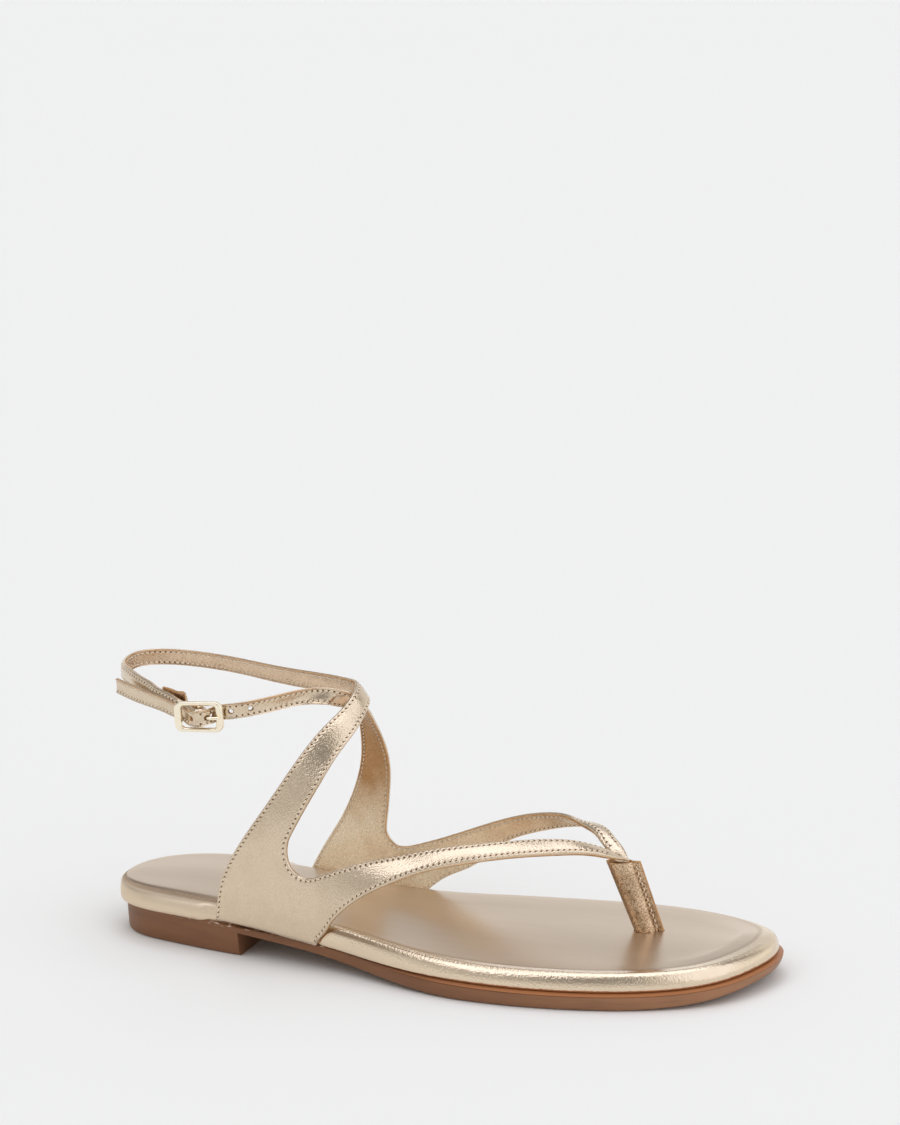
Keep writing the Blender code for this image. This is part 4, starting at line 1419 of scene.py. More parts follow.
@dataclass
class Strap:
    """A leather strap lofted through ribs: foil turned round a lining, sewn along both edges.

    Places along it are numbers of ribs. Between the corners its rim is the quarter's foot, which is
    tucked between footbed and sole. From the rib foil_from on its inner face is finished as `inside`
    says, and from raw_from on its turned edges are cut leather.
    """

    name: str
    ribs: Sequence[Rib]
    outward: int
    corners: tuple[int, int]
    unsewn: dict[Edge, Sequence[tuple[float, float]]]
    foil_from: int
    inside: Face = Face.BACKING
    raw_from: int | None = None
    spacing: float = 0.9
    slant_least: float = 0.45
    before_seam: tuple[float, ...] = (0.0, 0.1, 0.26, 0.5, 0.8)     # distances of points from an edge
    trough_half: float = 0.18
    past_seam: tuple[float, ...] = (1.55, 1.95)
    seam_index: int = 6                     # place of the outer face's seam among the points across
    inner_skip: int = 4                     # points at each edge that the inner face hasn't
    middle_points: int = 10
    roll: float = 0.6
    roll_share: float = 0.7
    inner_roll: float = 0.1
    inner_trough: float = 0.7
    crown: float = 0.10
    crown_most: float = 0.62
    tuck: float = 1.5
    tuck_reach: float = 0.9
    tuck_fade: float = 2.6
    tuck_ease: float = 2.0
    folds: tuple[Fold, ...] = (
        Fold(0.0, -0.02, Face.OUTER), Fold(0.08, -0.16, Face.OUTER), Fold(0.20, -0.20, Face.EDGE),
        Fold(0.22, -0.36, Face.EDGE), Fold(0.28, -0.86, Face.LINING),
    )
    rows: np.ndarray = field(init=False)
    run: np.ndarray = field(init=False)
    knots: np.ndarray = field(init=False)
    tucked: np.ndarray = field(init=False)

    def __post_init__(self) -> None:
        """Read the ribs' spline at closely spaced stations; the rim turns sharply at the corners."""
        table = np.array(self.ribs, float)
        self.knots = chord((table[:, 0:3] + table[:, 3:6]) / 2)
        breaks = [0, *self.corners, len(table) - 1]
        pieces, runs = [], []
        for start, end in zip(breaks, breaks[1:]):
            low, high = self.knots[start], self.knots[end]
            run = np.linspace(low, high, max(4, int((high - low) / self.spacing) + 1))
            run = run if end == breaks[-1] else run[:-1]
            rows = cubic(self.knots, table, run)
            part = slice(start, end + 1)
            rows[:, 3:6] = cubic(self.knots[part], table[part, 3:6], run)
            pieces.append(rows)
            runs.append(run)
        self.rows, self.run = np.concatenate(pieces), np.concatenate(runs)
        low, high = (self.knots[c] for c in self.corners)
        self.tucked = ramp(self.run, low - self.tuck_ease, low) * (1 - ramp(self.run, high, high + self.tuck_ease))
        direction = unit(self.rows[:, 3:6] - self.rows[:, 0:3])
        self.rows[:, 3:6] += direction * (self.tucked * self.tuck_reach)[:, None]

    def _frames(self) -> tuple[np.ndarray, np.ndarray, np.ndarray, np.ndarray]:
        """Work out the strap's frame at each station.

        Returns:
            Slot edge, unit vector across, width and outward normal.
        """
        slot, rim = self.rows[:, 0:3], self.rows[:, 3:6]
        across = rim - slot
        width = np.linalg.norm(across, axis=1)
        along = np.gradient((slot + rim) / 2, self.run, axis=0)
        normal = unit(np.cross(along, across)) * self.outward
        return slot, across / width[:, None], width, normal

    def _slant(self, edge: np.ndarray, direction: np.ndarray) -> np.ndarray:
        """How squarely the ribs meet an edge: the sine of the angle between them."""
        ahead = unit(np.diff(edge, axis=0, append=2 * edge[-1:] - edge[-2:-1]))
        return np.clip(np.linalg.norm(np.cross(ahead, direction), axis=1), self.slant_least, 1.0)

    def _offsets(self, width: float, slants: tuple[float, float]) -> np.ndarray:
        """Distances from the slot edge of the points across one face.

        Args:
            width: The strap's width.
            slants: How squarely the ribs meet slot and rim.

        Returns:
            The distances, rising.
        """
        seam = (SEAM.inset - self.trough_half, SEAM.inset, SEAM.inset + self.trough_half)
        near = np.array((*self.before_seam, *seam, *self.past_seam))
        first, last = near / slants[0], near / slants[1]
        shares = np.linspace(0, 1, self.middle_points + 2)[1:-1]
        return np.concatenate([first, shares * (width - first[-1] - last[-1]) + first[-1], (width - last)[::-1]])

    def _sewn(self, edge: Edge) -> np.ndarray:
        """Which stations have a seam along that edge.

        Args:
            edge: The edge.

        Returns:
            True where there is a seam.
        """
        sewn = np.ones(len(self.run), bool)
        numbers = np.interp(self.run, self.knots, np.arange(len(self.knots)))
        for start, end in self.unsewn.get(edge, ()):
            sewn &= ~((numbers > start) & (numbers < end))
        return sewn

    def build(self, materials: Sequence[bpy.types.Material], stitches: Stitches,
              replaces: Sequence[str]) -> bpy.types.Object:
        """Loft the strap and sew its edges.

        Args:
            materials: Outer leather, lining, raw edge and backing, in the order of Face.
            stitches: Where the thread goes.
            replaces: The CAD nodes that the strap stands for.

        Returns:
            The strap.
        """
        slot, direction, width, normal = self._frames()
        half = self.rows[:, 6] / 2
        slants = (self._slant(slot, direction), self._slant(self.rows[:, 3:6], direction))
        offsets = np.array([self._offsets(w, pair) for w, pair in zip(width, zip(*slants))])
        from_slot = offsets * slants[0][:, None]
        from_rim = (width[:, None] - offsets) * slants[1][:, None]
        near = np.minimum(from_slot, from_rim)
        rolled = np.sqrt(np.clip(1 - (1 - np.clip(near / self.roll, 0, 1)) ** 2, 0, 1))
        sewn = {edge: self._sewn(edge) for edge in Edge}
        trough = np.zeros_like(offsets)
        for edge, distance in ((Edge.SLOT, from_slot), (Edge.RIM, from_rim)):
            trough += np.exp(-((distance - SEAM.inset) / SEAM.trough_width) ** 2) * sewn[edge][:, None]
        trough *= SEAM.trough
        bulge = np.minimum(self.crown * width, self.crown_most)[:, None]
        puff = bulge * (1 - (1 - 2 * offsets / width[:, None]) ** 2)
        tuck = self.tuck * self.tucked[:, None] * (1 - np.clip(from_rim / self.tuck_fade, 0, 1)) ** 2
        outer_lift = half[:, None] * (1 - self.roll_share * (1 - rolled)) - trough + puff - tuck
        inner_lift = puff - tuck + self.inner_trough * trough - half[:, None] * (
            1 - self.inner_roll * (1 - rolled))
        base = slot[:, None] + direction[:, None] * offsets[..., None]
        outer = base + normal[:, None] * outer_lift[..., None]
        kept = slice(self.inner_skip, -self.inner_skip)
        inner = (base + normal[:, None] * inner_lift[..., None])[:, kept]
        slot_fold = self._fold(slot, direction, normal, half, tuck[:, 0])
        rim_fold = self._fold(self.rows[:, 3:6], -direction, normal, half, tuck[:, -1])
        ring = np.concatenate([outer, rim_fold, inner[:, ::-1], slot_fold[:, ::-1]], axis=1)
        blank = np.full((len(self.run), len(self.folds)), OFF_SEAM)
        run, off = (np.concatenate([number, blank, number[:, kept][:, ::-1], blank], axis=1)
                    for number in self._seam_numbers(outer, from_slot, from_rim, sewn))
        turns = [fold.face.value for fold in self.folds]
        strips = [*[Face.OUTER.value] * offsets.shape[1], *turns,
                  *[Face.LINING.value] * (inner.shape[1] - 1), *turns[::-1], Face.OUTER.value]
        skin = Skin()
        skin.loft(ring, strips, Face.EDGE.value, run=run, off=off)
        self._sew(stitches, outer, normal, sewn, self.seam_index)
        self._sew(stitches, inner, -normal, sewn, self.seam_index - self.inner_skip)
        mesh = skin.mesh(self.name, 55.0)
        around = ring.shape[1]
        self._retouch(mesh, around, self.foil_from, Face.LINING, self.inside)
        if self.raw_from is not None:
            self._retouch(mesh, around, self.raw_from, Face.OUTER, Face.EDGE, offsets.shape[1])
        return add_object(self.name, mesh, materials, replaces)

    def _fold(self, edge: np.ndarray, inwards: np.ndarray, normal: np.ndarray, half: np.ndarray,
              tuck: np.ndarray) -> np.ndarray:
        """The leather's turn round one edge, as far as the lining.

        Args:
            edge: Points along the edge.
            inwards: Unit vectors from them across the strap.
            normal: Outward normals.
            half: Half the wall.
            tuck: How far it is tucked in.

        Returns:
            The turn's points at each station.
        """
        rows = []
        for fold in self.folds:
            lift = half * fold.level - tuck
            rows.append(edge + inwards * fold.inset + normal * lift[:, None])
        return np.stack(rows, axis=1)

    def _retouch(self, mesh: bpy.types.Mesh, around: int, rib: int, old: Face, new: Face, skip: int = 0) -> None:
        """Give faces of one finish another one from a rib on.

        Args:
            mesh: The strap's mesh.
            around: How many strips it has.
            rib: Where the change starts.
            old: The finish that goes.
            new: The finish that comes.
            skip: How many strips stay as they are.
        """
        start = int(np.searchsorted(self.run, self.knots[rib]))
        for station in range(start, len(self.run) - 1):
            for strip in range(skip, around):
                face = mesh.polygons[station * around + strip]
                if face.material_index == old.value:
                    face.material_index = new.value

    def _seam_numbers(self, points: np.ndarray, from_slot: np.ndarray, from_rim: np.ndarray,
                      sewn: dict[Edge, np.ndarray]) -> tuple[np.ndarray, np.ndarray]:
        """Distance along the nearest seam, and off it, for each point of a face.

        Args:
            points: The face's points, station by station.
            from_slot: Their distances from the slot edge.
            from_rim: Their distances from the rim.
            sewn: Which stations have a seam, for each edge.

        Returns:
            The two distances.
        """
        run_slot, run_rim = (chord(points[:, i])[:, None] for i in (self.seam_index, -1 - self.seam_index))
        off_slot = np.where(sewn[Edge.SLOT][:, None], from_slot - SEAM.inset, OFF_SEAM)
        off_rim = np.where(sewn[Edge.RIM][:, None], from_rim - SEAM.inset, OFF_SEAM)
        nearer = np.abs(off_slot) < np.abs(off_rim)
        return np.where(nearer, run_slot, run_rim), np.where(nearer, off_slot, off_rim)

    @staticmethod
    def _sew(stitches: Stitches, face: np.ndarray, normal: np.ndarray, sewn: dict[Edge, np.ndarray],
             place: int) -> None:
        """Lay the thread of one face's seams, stretch by stretch.

        Args:
            stitches: Where the thread goes.
            face: The face's points, station by station.
            normal: Its normal at each station.
            sewn: Which stations have a seam, for each edge.
            place: The slot seam's place among the points across.
        """
        for edge, index in ((Edge.SLOT, place), (Edge.RIM, -1 - place)):
            line, run = face[:, index], chord(face[:, index])
            turns = np.flatnonzero(np.diff(np.concatenate([[0], sewn[edge].astype(int), [0]])))
            for start, end in zip(turns[::2], turns[1::2]):
                if end - start > 3:
                    stitches.sew(line[start:end], normal[start:end], run[start:end])


@dataclass
class Buckle:
    """The frame with its centre bar, and the pin through the billet.

    prong holds places along the pin past its eye, as forward and outward distances. pin_taper gives the
    share of its radius at a share of its length. profile goes round the frame's section: the share of the
    way to the window, and the height.
    """

    centre: np.ndarray = field(default_factory=lambda: np.array((47.9, -30.0, 89.8)))
    turn: float = math.radians(8.0)
    climb: float = 0.03
    size: tuple[float, float] = (18.3, 11.2)
    corner: float = 2.9
    window: tuple[float, float] = (12.9, 8.2)
    window_corner: float = 1.2
    bar_radius: float = 0.8
    bar_depth: float = -0.6
    bar_sides: int = 20
    pin_radius: float = 0.6
    pin_clearance: float = 0.35
    pin_points: int = 70
    pin_sides: int = 18
    pin_taper: tuple[tuple[float, float], ...] = ((0.0, 0.7), (0.03, 1.0), (0.9, 1.0), (0.97, 0.85), (1.0, 0.5))
    corner_steps: int = 8
    prong: tuple[tuple[float, float], ...] = ((2.4, 0.2), (3.6, 1.7), (5.2, 2.1), (7.0, 1.95), (8.3, 1.9))
    profile: tuple[tuple[float, float], ...] = (
        (0.0, -0.55), (0.0, 0.45), (0.05, 0.75), (0.15, 0.95), (0.3, 1.0), (0.62, 1.0), (0.8, 0.93),
        (0.93, 0.75), (1.0, 0.45), (1.0, -0.5), (0.94, -0.82), (0.8, -0.98), (0.25, -0.98), (0.06, -0.85),
    )

    def axes(self) -> np.ndarray:
        """Work out the buckle's own axes.

        Returns:
            Rows of unit vectors: forward along the frame, outward from the foot, and up.
        """
        forward = unit(np.array((math.cos(self.turn), math.sin(self.turn), self.climb)))
        outward = np.array((math.sin(self.turn), -math.cos(self.turn), 0.0))
        return np.array((forward, outward, np.cross(outward, forward)))

    def at(self, along: float, out: float, up: float) -> np.ndarray:
        """A point in the buckle's terms."""
        return self.centre + np.array((along, out, up)) @ self.axes()

    def ribs(self, weaves: Sequence[Weave], slot_is_top: bool) -> list[Rib]:
        """Bring a strap's ribs from the buckle's terms to the shoe's.

        Args:
            weaves: A strap's ribs in the buckle's terms.
            slot_is_top: Whether the slot edge is the upper one.

        Returns:
            The ribs.
        """
        made = []
        for weave in weaves:
            top = self.at(weave.along, weave.out, weave.top)
            bottom = self.at(weave.along, weave.out, weave.bottom)
            slot, rim = (top, bottom) if slot_is_top else (bottom, top)
            made.append(Rib(*slot, *rim, weave.wall))
        return made

    def _rectangle(self, share: float, height: float) -> np.ndarray:
        """The outline at a share of the way from the frame's outside to its window.

        Args:
            share: The share of the way.
            height: How far outward it lies.

        Returns:
            The outline's points.
        """
        points = []
        size = [a * (1 - share) + b * share for a, b in zip(self.size, self.window)]
        radius = self.corner * (1 - share) + self.window_corner * share
        for quadrant, (sx, sy) in enumerate(((1, 1), (-1, 1), (-1, -1), (1, -1))):
            for step in range(self.corner_steps + 1):
                angle = (quadrant + step / self.corner_steps) * math.pi / 2
                u = sx * (size[0] / 2 - radius) + radius * math.cos(angle)
                v = sy * (size[1] / 2 - radius) + radius * math.sin(angle)
                points.append(self.at(u, height, v))
        return np.array(points)

    def pin_path(self) -> np.ndarray:
        """The pin's centre line: most of a turn round the bar, then out through the billet.

        Returns:
            Points along it.
        """
        wrap = self.bar_radius + GAP + self.pin_radius
        turns = np.radians(np.arange(-150, 31, 30))
        eye = [(wrap * math.cos(a), self.bar_depth + wrap * math.sin(a)) for a in turns]
        return np.array([self.at(along, out, 0) for along, out in (*eye, *self.prong)])

    def build(self, metal: bpy.types.Material) -> None:
        """Make the frame with its bar, and the pin.

        Args:
            metal: The plating.
        """
        skin = Skin()
        rings = np.array([self._rectangle(share, height) for share, height in self.profile])
        around = rings.shape[1]
        first = skin.grow(np.concatenate([rings, rings[:1]]))
        skin.band(first, len(rings) + 1, around)
        reach = (self.size[1] + self.window[1]) / 4
        bar = np.array([self.at(0, self.bar_depth, up) for up in np.linspace(-reach, reach, 9)])
        skin.loft(tube_rings(bar, np.full(len(bar), self.bar_radius), self.bar_sides))
        add_object("buckle_hoop", skin.mesh("buckle_hoop", 70.0), [metal], ["buckle_frame"])
        shares = np.linspace(0, 1, self.pin_points)
        radii = self.pin_radius * np.interp(shares, *zip(*self.pin_taper))
        pin = tube("buckle_prong", smooth_curve(self.pin_path(), self.pin_points), radii, self.pin_sides)
        add_object("buckle_prong", pin, [metal], ["buckle_pin"])


@dataclass
class Upper:
    """Both straps of the upper, from the toe post's tube to the buckle, and all their thread.

    Each quarter's foot lies between two of its strap's ribs, and the strap's inner face is foil from a
    later rib on. Up to tube_end the straps are inside the tube, where nothing is sewn.
    """

    post: ToePost
    buckle: Buckle
    lateral_foot: tuple[int, int] = (14, 18)
    medial_foot: tuple[int, int] = (13, 17)
    lateral_foil: int = 29
    medial_foil: int = 25
    tube_end: float = 3.5
    wall: float = 1.8
    strap_wall: float = 1.6
    fold_wall: float = 1.4
    tongue_wall: float = 1.0
    tongue_levels: tuple[float, ...] = (20.0, 23.0, 26.4)
    tongue_edges: tuple[float, float] = (-4.5, 1.9)
    tongue_shift: float = 0.35
    fold_steps: int = 5
    first_hole: float = -1.9
    hole_pitch: float = 6.7
    holes: int = 4
    hole_radius: float = 0.9
    hole_sides: int = 28
    punch_reach: float = 1.6
    pin_way_points: int = 40
    pin_way_sides: int = 16

    def tongue(self, side: int) -> list[Rib]:
        """The end of a thong strap in the toe post's tube.

        Args:
            side: 1 for the medial strap, -1 for the lateral one.

        Returns:
            Its ribs.
        """
        shift = side * self.tongue_shift
        return [
            Rib(*self.post.at(level, self.tongue_edges[0], shift),
                *self.post.at(level, self.tongue_edges[1], shift), self.tongue_wall)
            for level in self.tongue_levels
        ]

    def lateral_ribs(self) -> list[Rib]:
        """Thong strap, quarter, arm and ankle strap of the lateral side, round to the buckle's fold.

        Returns:
            The ribs, from the toe post on.
        """
        w, s = self.wall, self.strap_wall
        return [
            *self.tongue(-1),
            Rib(191.8, 6.8, 40.9, 194.9, 4.6, 40.4, 1.2),
            Rib(188.1, 3.5, 43.9, 190.1, -2.2, 43.2, w),
            Rib(182.2, -1.0, 46.9, 184.8, -6.4, 44.5, w),
            Rib(174.2, -5.0, 48.3, 176.4, -11.0, 44.8, w),
            Rib(163.6, -12.0, 49.0, 164.3, -19.0, 45.1, w),
            Rib(151.5, -20.0, 48.9, 150.4, -27.0, 44.1, w),
            Rib(138.8, -26.2, 47.9, 135.6, -33.6, 41.4, w),
            Rib(125.5, -30.7, 45.4, 121.5, -37.1, 35.6, w),
            Rib(113.1, -33.5, 42.7, 110.3, -38.1, 28.9, w),
            Rib(103.7, -34.7, 39.5, 101.9, -38.1, 21.1, w),
            Rib(96.6, -35.0, 36.8, 98.0, -37.2, 15.7, w),
            Rib(92.6, -34.9, 35.3, 93.5, -36.0, 10.6, w),
            Rib(89.3, -34.6, 35.0, 83.0, -34.4, 11.4, w),
            Rib(86.9, -34.4, 35.8, 71.3, -32.9, 12.6, w),
            Rib(85.0, -34.4, 37.3, 61.1, -31.8, 13.3, w),
            Rib(83.7, -34.3, 39.2, 52.1, -30.7, 13.8, w),
            Rib(83.0, -34.2, 41.7, 53.2, -31.0, 21.4, w),
            Rib(82.8, -34.0, 44.5, 55.1, -31.2, 29.6, w),
            Rib(83.5, -33.8, 48.0, 59.2, -31.6, 38.0, w),
            Rib(85.4, -33.4, 51.9, 63.5, -32.0, 44.7, w),
            Rib(88.8, -32.3, 58.4, 67.9, -32.0, 51.0, w),
            Rib(94.4, -28.6, 69.1, 75.7, -30.6, 62.2, w),
            Rib(99.1, -21.5, 78.7, 85.3, -26.0, 77.3, w),
            Rib(102.4, -13.5, 85.2, 92.1, -18.5, 87.1, w),
            Rib(102.7, -7.4, 88.4, 95.8, -12.0, 91.8, w),
            Rib(102.1, -2.8, 90.3, 97.6, -7.0, 95.6, w),
            Rib(100.6, 1.8, 91.2, 96.8, -1.8, 97.4, w),
            Rib(97.4, 6.2, 91.2, 95.0, 2.4, 98.2, s),
            Rib(92.5, 8.8, 90.8, 91.2, 5.8, 98.0, s),
            Rib(86.0, 10.8, 90.4, 85.6, 8.8, 97.7, s),
            Rib(76.0, 13.6, 90.2, 76.0, 12.6, 97.3, s),
            Rib(58.0, 18.2, 90.4, 58.0, 17.4, 97.0, s),
            Rib(40.0, 24.0, 90.8, 40.0, 23.2, 97.0, s),
            Rib(22.0, 27.6, 91.0, 22.0, 26.8, 97.2, s),
            Rib(8.4, 26.0, 91.4, 8.4, 25.2, 97.7, s),
            Rib(0.7, 19.6, 91.8, 0.9, 19.2, 98.0, s),
            Rib(-0.5, 11.0, 91.8, -0.3, 11.0, 98.0, s),
            Rib(2.1, 2.4, 91.7, 2.4, 2.6, 98.0, s),
            Rib(8.0, -4.8, 91.5, 8.3, -4.4, 97.8, s),
            Rib(15.2, -11.2, 91.1, 15.4, -10.8, 97.4, s),
            Rib(22.3, -16.6, 90.6, 22.5, -16.3, 96.9, s),
        ]

    def medial_ribs(self) -> list[Rib]:
        """Thong strap, quarter, arm and billet of the medial side, as far as the buckle.

        Returns:
            The ribs, from the toe post on.
        """
        w, s = self.wall, self.strap_wall
        return [
            *self.tongue(1),
            Rib(191.0, 8.2, 40.5, 195.4, 10.6, 41.0, 1.2),
            Rib(188.1, 9.7, 42.2, 191.3, 13.5, 44.0, w),
            Rib(183.7, 12.5, 45.6, 185.4, 18.3, 46.3, w),
            Rib(177.6, 16.5, 47.4, 177.0, 23.0, 45.9, w),
            Rib(170.8, 19.5, 49.2, 167.0, 26.4, 43.6, w),
            Rib(161.7, 23.0, 48.8, 155.2, 29.0, 39.8, w),
            Rib(149.0, 25.7, 45.8, 141.4, 30.4, 33.8, w),
            Rib(132.7, 26.8, 39.9, 129.2, 30.4, 23.9, w),
            Rib(116.6, 27.0, 33.5, 119.6, 29.8, 18.9, w),
            Rib(108.4, 27.0, 30.7, 112.6, 28.6, 14.2, w),
            Rib(104.1, 26.8, 29.5, 107.6, 26.8, 9.2, w),
            Rib(101.7, 26.8, 29.3, 98.1, 25.9, 10.0, w),
            Rib(99.3, 26.8, 29.6, 86.4, 26.3, 11.1, w),
            Rib(97.2, 27.0, 31.2, 75.9, 26.9, 12.2, w),
            Rib(95.9, 27.0, 33.2, 62.6, 27.2, 13.3, w),
            Rib(95.4, 27.0, 36.2, 68.4, 27.6, 24.2, w),
            Rib(96.0, 27.2, 41.6, 72.1, 28.2, 30.3, w),
            Rib(97.1, 27.0, 50.7, 77.6, 28.8, 39.5, w),
            Rib(98.2, 25.0, 61.0, 83.2, 28.0, 51.8, w),
            Rib(98.4, 20.0, 71.0, 86.9, 25.0, 62.6, w),
            Rib(98.4, 12.0, 80.7, 90.0, 18.5, 74.3, w),
            Rib(98.8, 4.0, 87.8, 92.2, 10.8, 83.4, w),
            Rib(98.0, -1.6, 92.2, 92.2, 3.6, 87.8, w),
            Rib(96.1, -4.6, 95.8, 90.4, -1.0, 89.6, s),
            Rib(91.6, -4.3, 96.8, 87.9, -6.3, 91.2, s),
            Rib(85.6, -5.5, 97.3, 83.4, -8.5, 91.6, s),
            Rib(79.4, -9.9, 97.3, 77.8, -11.5, 91.3, s),
            Rib(73.9, -15.9, 96.7, 72.6, -16.5, 90.5, s),
            Rib(68.3, -21.2, 95.9, 67.5, -21.2, 89.8, s),
            Rib(62.3, -25.6, 95.1, 61.8, -24.9, 89.1, s),
        ]

    def back_strap(self) -> list[Weave]:
        """The ankle strap's way to the centre bar and round it.

        Returns:
            The ribs in the buckle's terms.
        """
        s, f = self.strap_wall, self.fold_wall
        outer = [
            Weave(-20.0, -13.5, 7.2, 1.0, s), Weave(-15.0, -9.6, 6.5, 0.3, s), Weave(-12.0, -7.2, 6.0, -0.2, s),
            Weave(-10.0, -5.7, 5.5, -0.8, s), Weave(-8.0, -4.6, 4.8, -1.4, s), Weave(-6.2, -4.1, 4.1, -2.0, f),
            Weave(-4.6, -3.0, 3.6, -2.4, f), Weave(-3.2, -1.2, 3.3, -2.7, f), Weave(-1.8, 0.5, 3.2, -2.8, f),
        ]
        radius = self.buckle.bar_radius + GAP + f / 2
        last = outer[-1]
        for i in range(self.fold_steps):
            turn = math.radians(90 - 180 * (i + 0.5) / self.fold_steps)
            outer.append(Weave(radius * math.cos(turn), self.buckle.bar_depth + radius * math.sin(turn),
                               last.top, last.bottom, f))
        return outer

    def folded_end(self) -> list[Weave]:
        """The strap's end, folded back inside itself.

        Returns:
            The ribs in the buckle's terms.
        """
        f = self.fold_wall
        return [
            Weave(-1.6, -2.7, 3.2, -2.8, f), Weave(-3.0, -4.2, 3.3, -2.7, f), Weave(-4.6, -5.5, 3.4, -2.6, f),
            Weave(-6.3, -6.2, 3.9, -2.2, f), Weave(-6.8, -6.4, 6.6, -2.1, f), Weave(-9.0, -7.2, 7.3, -1.4, f),
            Weave(-12.5, -9.5, 7.4, -0.3, f), Weave(-17.0, -12.6, 7.5, 0.8, f),
        ]

    def billet(self) -> list[Weave]:
        """The free end, through the buckle and back along the outside.

        Returns:
            The ribs in the buckle's terms.
        """
        s = self.strap_wall
        return [
            Weave(10.6, -1.9, 4.4, -1.4, s), Weave(8.4, -2.2, 4.1, -1.6, s), Weave(6.7, -2.1, 3.8, -2.0, s),
            Weave(5.1, -0.8, 3.4, -2.5, s), Weave(3.4, 1.3, 3.1, -2.8, s), Weave(1.8, 2.7, 2.9, -3.0, s),
            Weave(0.0, 3.2, 2.8, -3.1, s), Weave(-1.8, 2.7, 2.9, -3.0, s), Weave(-3.4, 1.3, 3.0, -2.9, s),
            Weave(-5.1, -0.8, 3.3, -2.6, s), Weave(-6.7, -2.1, 3.5, -2.2, s), Weave(-8.4, -2.4, 3.8, -1.6, s),
            Weave(-11.0, -3.6, 4.3, -1.1, s), Weave(-15.0, -6.6, 4.9, -0.6, s), Weave(-20.0, -9.7, 5.5, 0.0, s),
            Weave(-26.0, -14.2, 6.0, 0.2, s), Weave(-33.0, -20.4, 6.3, 0.4, s), Weave(-39.4, -26.2, 6.6, 0.9, s),
        ]

    def punches(self) -> list[bpy.types.Object]:
        """Rods through the billet where it is punched, and along the pin's way.

        Returns:
            The cutting tools.
        """
        ribs = [*self.medial_ribs()[-3:], *self.buckle.ribs(self.billet(), True)]
        rows = np.array([rib[:6] for rib in reversed(ribs)])
        middle = (rows[:, 0:3] + rows[:, 3:6]) / 2
        distance = (middle - self.buckle.centre) @ self.buckle.axes()[0]
        rods = []
        for number in range(self.holes):
            at = self.first_hole + self.hole_pitch * number + np.array((0, 0.1))
            here, ahead = cubic(distance, middle, at)
            through = unit(np.cross(ahead - here, (0, 0, 1))) * self.punch_reach
            path = np.array((here - through, here + through))
            name = f"punch_{number}"
            rods.append(loose(name, tube(name, path, np.full(2, self.hole_radius), self.hole_sides)))
        way = smooth_curve(self.buckle.pin_path(), self.pin_way_points)
        radii = np.full(len(way), self.buckle.pin_radius + self.buckle.pin_clearance)
        rods.append(loose("pin_way", tube("pin_way", way, radii, self.pin_way_sides)))
        return rods

    def build(self, materials: Sequence[bpy.types.Material]) -> Stitches:
        """Make both straps and the thread that sews them.

        Args:
            materials: Outer leather, lining, raw edge and backing, in the order of Face.

        Returns:
            The thread, for the pieces that are sewn later.
        """
        stitches = Stitches()
        lateral = [*self.lateral_ribs(), *self.buckle.ribs([*self.back_strap(), *self.folded_end()], False)]
        medial = [*self.medial_ribs(), *self.buckle.ribs(self.billet(), True)]
        fold = len(self.lateral_ribs()) + len(self.back_strap()) - self.fold_steps
        in_tube, folded = (-1, self.tube_end), (fold - 1, math.inf)
        outer = Strap(
            "upper_lateral", lateral, 1, self.lateral_foot,
            {Edge.SLOT: (in_tube, folded), Edge.RIM: (in_tube, self.lateral_foot, folded)},
            foil_from=self.lateral_foil, raw_from=fold + 2)
        inner = Strap(
            "upper_medial", medial, -1, self.medial_foot,
            {Edge.SLOT: (in_tube,), Edge.RIM: (in_tube, self.medial_foot)},
            foil_from=self.medial_foil, inside=Face.OUTER)
        outer.build(materials, stitches, ["upper"])
        piece = inner.build(materials, stitches, ["upper"])
        carve(piece, self.punches(), Face.EDGE.value)
        return stitches


# ---------------------------------------------------------------- studio
class Lamp(NamedTuple):
    """A round softbox: its way round from behind the shoe, its elevation, reach, soft edge and level."""

    turn: float
    elevation: float
    reach: float
    edge: float
    level: float


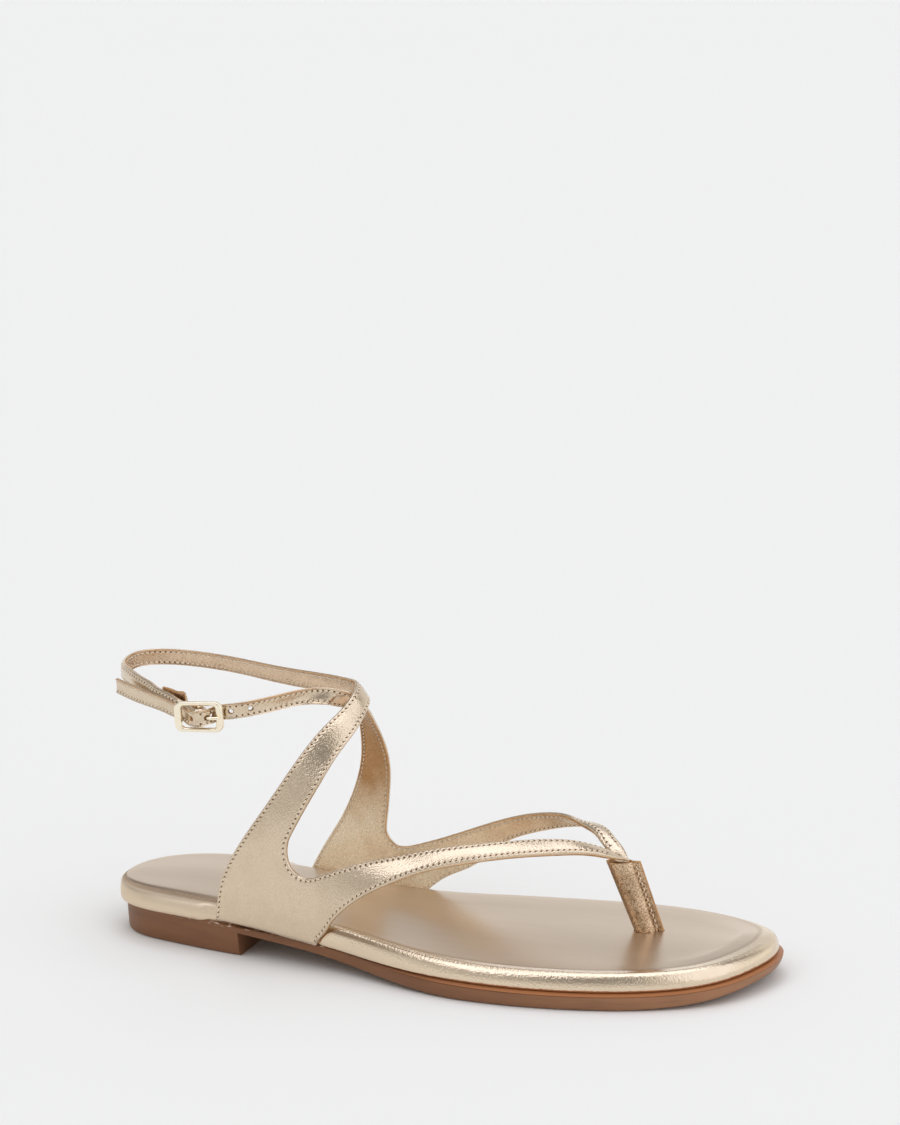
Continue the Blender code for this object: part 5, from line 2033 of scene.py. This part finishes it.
@dataclass
class Studio:
    """Pale floor, softboxes in a dim room with pale walls, and the camera.

    gloom, walls and backdrop are brightnesses: overhead, of the walls, and of the wall behind the shoe.
    The walls fade into the gloom between the two elevations of wall_top. cool tints what is brighter
    than the backdrop. The camera's angles are in degrees, and its azimuth turns it to the shoe's toe.
    """

    floor_tone: Color = (0.94, 0.93, 0.88)
    floor_reach: float = 14.0
    camera_at: tuple[float, float, float] = (0.55208, -1.31730, 0.49619)
    azimuth: float = 22.40
    elevation: float = 13.79
    roll: float = -1.318
    lens: float = 132.69
    gloom: float = 0.34
    walls: float = 0.72
    backdrop: float = 1.05
    backdrop_turn: float = 45.0
    backdrop_band: tuple[float, float] = (0.05, 0.35)
    wall_top: tuple[float, float] = (6.0, 37.0)
    lamps: tuple[Lamp, ...] = (
        Lamp(132.0, 86.0, 22.5, 14.0, 1.75), Lamp(-127.5, 50.0, 19.0, 12.0, 1.7),
        Lamp(128.0, 34.0, 34.0, 18.0, 1.25), Lamp(0.0, 57.0, 13.0, 5.0, 1.45),
        Lamp(-161.0, 36.0, 15.0, 4.0, 0.34), Lamp(36.0, 22.0, 23.0, 18.0, 0.84),
    )
    cool: Color = (0.98, 1.0, 1.10)
    cool_full: float = 1.3

    def build(self) -> None:
        """Make floor, light and camera."""
        self._floor()
        self._sky()
        self._camera()
        bpy.context.scene.view_settings.view_transform = "Standard"

    def _floor(self) -> None:
        """A wide pale floor."""
        material, board = surface("floor")
        principled(board, {"Base Color": self.floor_tone, "Roughness": 0.9, "Specular IOR Level": 0.1})
        reach = self.floor_reach
        mesh = bpy.data.meshes.new("floor")
        mesh.from_pydata([(-reach, -reach, 0), (reach, -reach, 0), (reach, reach, 0), (-reach, reach, 0)],
                         [], [(0, 1, 2, 3)])
        mesh.materials.append(material)
        floor = bpy.data.objects.new("floor", mesh)
        bpy.context.scene.collection.objects.link(floor)

    def _sky(self) -> None:
        """Light from all round: pale walls, brightest behind the shoe, a dim room over them, and the lamps."""
        world = bpy.data.worlds.new("studio")
        world.use_nodes = True
        bpy.context.scene.world = world
        board = Board(world.node_tree)
        way = board.add("ShaderNodeTexCoord", output="Generated")
        up = board.add("ShaderNodeSeparateXYZ", {}, {"Vector": way}, "Z")
        climb = board.math("ARCSINE", up) * (180 / math.pi)
        low = board.step(climb, *reversed(self.wall_top))
        behind = board.step(self._nearness(board, way, self.backdrop_turn, 0.0), *self.backdrop_band)
        light = low * (self.walls - self.gloom + behind * (self.backdrop - self.walls)) + self.gloom
        for lamp in self.lamps:
            near = self._nearness(board, way, lamp.turn, lamp.elevation)
            start, end = (math.cos(math.radians(lamp.reach + side * lamp.edge / 2)) for side in (1, -1))
            light = light + board.step(near, start, end) * (lamp.level - light)
        lit = board.step(light, self.backdrop, self.cool_full)
        tints = [light * (lit * (share - 1) + 1) for share in self.cool]
        shade = board.add("ShaderNodeCombineColor", {}, dict(zip(("Red", "Green", "Blue"), tints)))
        glow = board.add("ShaderNodeBackground", {}, {"Color": shade})
        board.add("ShaderNodeOutputWorld", {}, {"Surface": glow})

    def _nearness(self, board: Board, way: Wire, turn: float, elevation: float) -> Wire:
        """The cosine between a way through the room and a direction given by its turn and elevation.

        Args:
            board: The world's nodes.
            way: The way through the room.
            turn: Degrees round from behind the shoe.
            elevation: Degrees over the horizon.

        Returns:
            The cosine, as a wire.
        """
        turn, rise, heading = (math.radians(v) for v in (turn, elevation, self.azimuth))
        right = Vector((math.cos(heading), math.sin(heading), 0))
        away = Vector((-math.sin(heading), math.cos(heading), 0))
        level = (right * math.sin(turn) + away * math.cos(turn)) * math.cos(rise)
        return board.add("ShaderNodeVectorMath", {"operation": "DOT_PRODUCT"},
                         {"Vector": way, "Vector_001": level + Vector((0, 0, math.sin(rise)))}, "Value")

    def _camera(self) -> None:
        """The camera, by its place, its azimuth and elevation, and a small roll."""
        a, e, r = (math.radians(v) for v in (self.azimuth, self.elevation, self.roll))
        back = Vector((math.sin(a) * math.cos(e), -math.cos(a) * math.cos(e), math.sin(e)))
        level = Vector((math.cos(a), math.sin(a), 0))
        upright = back.cross(level)
        right = level * math.cos(r) + upright * math.sin(r)
        data = bpy.data.cameras.new("camera")
        data.lens = self.lens
        data.clip_end = 60
        camera = bpy.data.objects.new("camera", data)
        placed = Matrix((right, back.cross(right), back)).transposed().to_4x4()
        placed.translation = Vector(self.camera_at)
        camera.matrix_world = placed
        bpy.context.scene.collection.objects.link(camera)
        bpy.context.scene.camera = camera


# ---------------------------------------------------------------- main
def main() -> None:
    """Build the sandal in its studio and report each piece."""
    logging.basicConfig(level=logging.INFO, format="%(name)s %(message)s")
    Studio().build()
    leather, lining, raw = FoilLeather().make(), LINING.make(), RawLeather().make()
    form, post, buckle, thread = SoleForm(), ToePost(), Buckle(), Thread().make()
    Outsole(form).build(Rubber().make())
    Footbed(form).build(FootbedLeather().make(), raw, post)
    stitches = Upper(post, buckle).build([leather, lining, raw, BACKING.make()])
    post.build(POST_LEATHER.make(), raw, stitches)
    stitches.build("stitching", thread)
    buckle.build(PalePlating().make())


if __name__ == "__main__":
    main()
